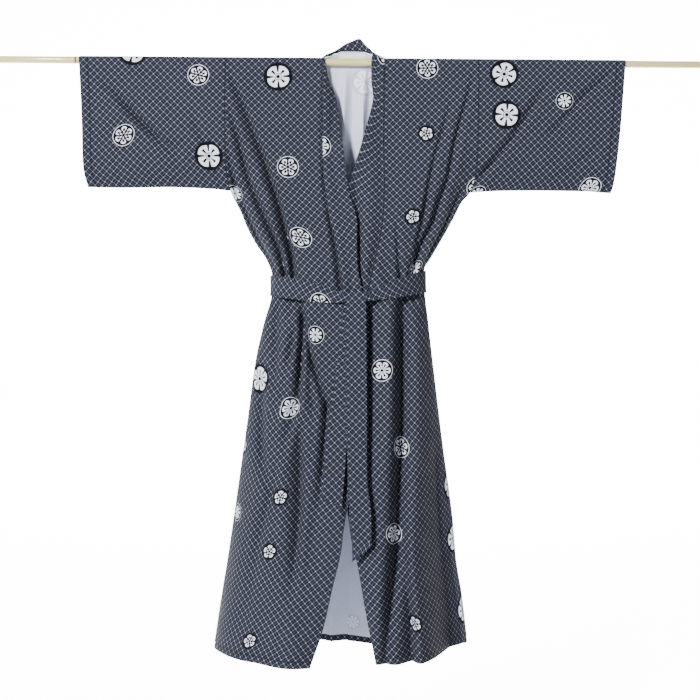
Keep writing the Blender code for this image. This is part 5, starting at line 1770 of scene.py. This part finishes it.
# name, place, where it points, size in metres, watts
LIGHTS = (
    ("key", (-3.8, -6.8, 2.3), (0.0, 0.0, -0.65), 1.4, 1540.0),
    ("fill", (2.6, -2.8, 0.0), (0.0, 0.0, -0.8), 1.6, 14.0),
)


def make_studio():
    """Pale floor that curves up into a lit pale wall, soft lights and the camera."""
    scene = bpy.context.scene
    sweep = sweep_backdrop()
    sweep.data.materials.append(lit_paper())
    world = bpy.data.worlds.new("studio_air")
    scene.world = world
    world.use_nodes = True
    background = world.node_tree.nodes["Background"]
    background.inputs["Color"].default_value = linear("#ffffff")
    background.inputs["Strength"].default_value = AIR
    for name, at, towards, size, power in LIGHTS:
        soft_light(name, at, towards, size, power)
    camera = bpy.data.cameras.new("camera")
    camera.lens = LENS
    camera.sensor_width = SENSOR
    eye = bpy.data.objects.new("camera", camera)
    eye.location = CAMERA_AT
    eye.rotation_euler = (math.radians(90.0), math.radians(CAMERA_ROLL), 0.0)
    scene.collection.objects.link(eye)
    scene.camera = eye


def lit_paper():
    """Matt white backdrop paper, lit evenly behind the robe and left plain elsewhere."""
    material, tree, shader = start_finish("studio_paper", PAPER_ROUGHNESS)
    shader.inputs["Base Color"].default_value = linear("#d6d6d4")
    shader.inputs["Emission Color"].default_value = linear("#ffffff")
    x = add(tree, add(tree, kind="ShaderNodeTexCoord", output="Object"), **SPLIT)
    split = x.node.outputs
    aside = add(tree, add(tree, x, **UNSIGNED), *LIT_ASIDE, **STEP)
    lit = add(tree, aside, add(tree, split["Y"], *LIT_BEHIND, **STEP), **TIMES)
    lit = add(tree, lit, add(tree, split["Z"], *LIT_UP, **STEP), **TIMES)
    fill(shader.inputs["Emission Strength"], add(tree, lit, LIT_STRENGTH, **TIMES))
    return material


def sweep_backdrop():
    """Floor and wall in one sheet with a wide curve between them."""
    curve_start = WALL_DISTANCE - CURVE_RADIUS
    profile = [(FLOOR_START, FLOOR_HEIGHT), (curve_start, FLOOR_HEIGHT)]
    for step in range(1, CURVE_STEPS + 1):
        turn = math.pi / 2 * step / CURVE_STEPS
        rise = CURVE_RADIUS * (1 - math.cos(turn))
        profile.append((curve_start + CURVE_RADIUS * math.sin(turn), FLOOR_HEIGHT + rise))
    profile.append((WALL_DISTANCE, WALL_TOP))
    bm = bmesh.new()
    vertices = [bm.verts.new((-SWEEP_HALF_WIDTH, y, z)) for y, z in profile]
    edges = [bm.edges.new(pair) for pair in zip(vertices, vertices[1:])]
    made = bmesh.ops.extrude_edge_only(bm, edges=edges)
    moved = [element for element in made["geom"] if isinstance(element, bmesh.types.BMVert)]
    bmesh.ops.translate(bm, verts=moved, vec=(2 * SWEEP_HALF_WIDTH, 0.0, 0.0))
    bmesh.ops.recalc_face_normals(bm, faces=bm.faces[:])
    return finish_object("studio_sweep", bm)


def soft_light(name, at, towards, size, power):
    """Square area light aimed at a point."""
    light = bpy.data.lights.new(name, "AREA")
    light.size = size
    light.energy = power
    lamp = bpy.data.objects.new(name, light)
    lamp.location = at
    across, along, up = (t - a for t, a in zip(towards, at))
    lamp.rotation_euler = (
        math.atan2(math.hypot(across, along), -up), 0.0, math.atan2(-across, along)
    )
    bpy.context.scene.collection.objects.link(lamp)


def main():
    """Build the robe, its rod and the studio."""
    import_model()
    make_studio()
    right = Half(
        "right", -1.0, RIGHT_SIDE, RIGHT_EDGE, NO_TUCK, RIGHT_NECK, RIGHT_CUFF, RIGHT_LOWER,
        {"front": RIGHT_FRONT_FOLDS, "back": RIGHT_BACK_FOLDS, "sleeve": RIGHT_SLEEVE_FOLDS},
    )
    left = Half(
        "left", 1.0, LEFT_SIDE, LEFT_EDGE, LEFT_TUCK, LEFT_NECK, LEFT_CUFF, LEFT_LOWER,
        {"front": LEFT_FRONT_FOLDS, "back": LEFT_BACK_FOLDS, "sleeve": LEFT_SLEEVE_FOLDS},
    )
    made = make_finishes()
    finishes = (made["printed_cotton"], made["cotton_reverse"])
    for half in (right, left):
        make_body_half(half, finishes)
        make_sleeve(half, finishes)
    make_collar(right, left, finishes)
    make_belt(right, left, finishes)
    make_tails(right, finishes)
    make_label((made["label_tape"],))
    make_rod(made["bamboo"])


main()
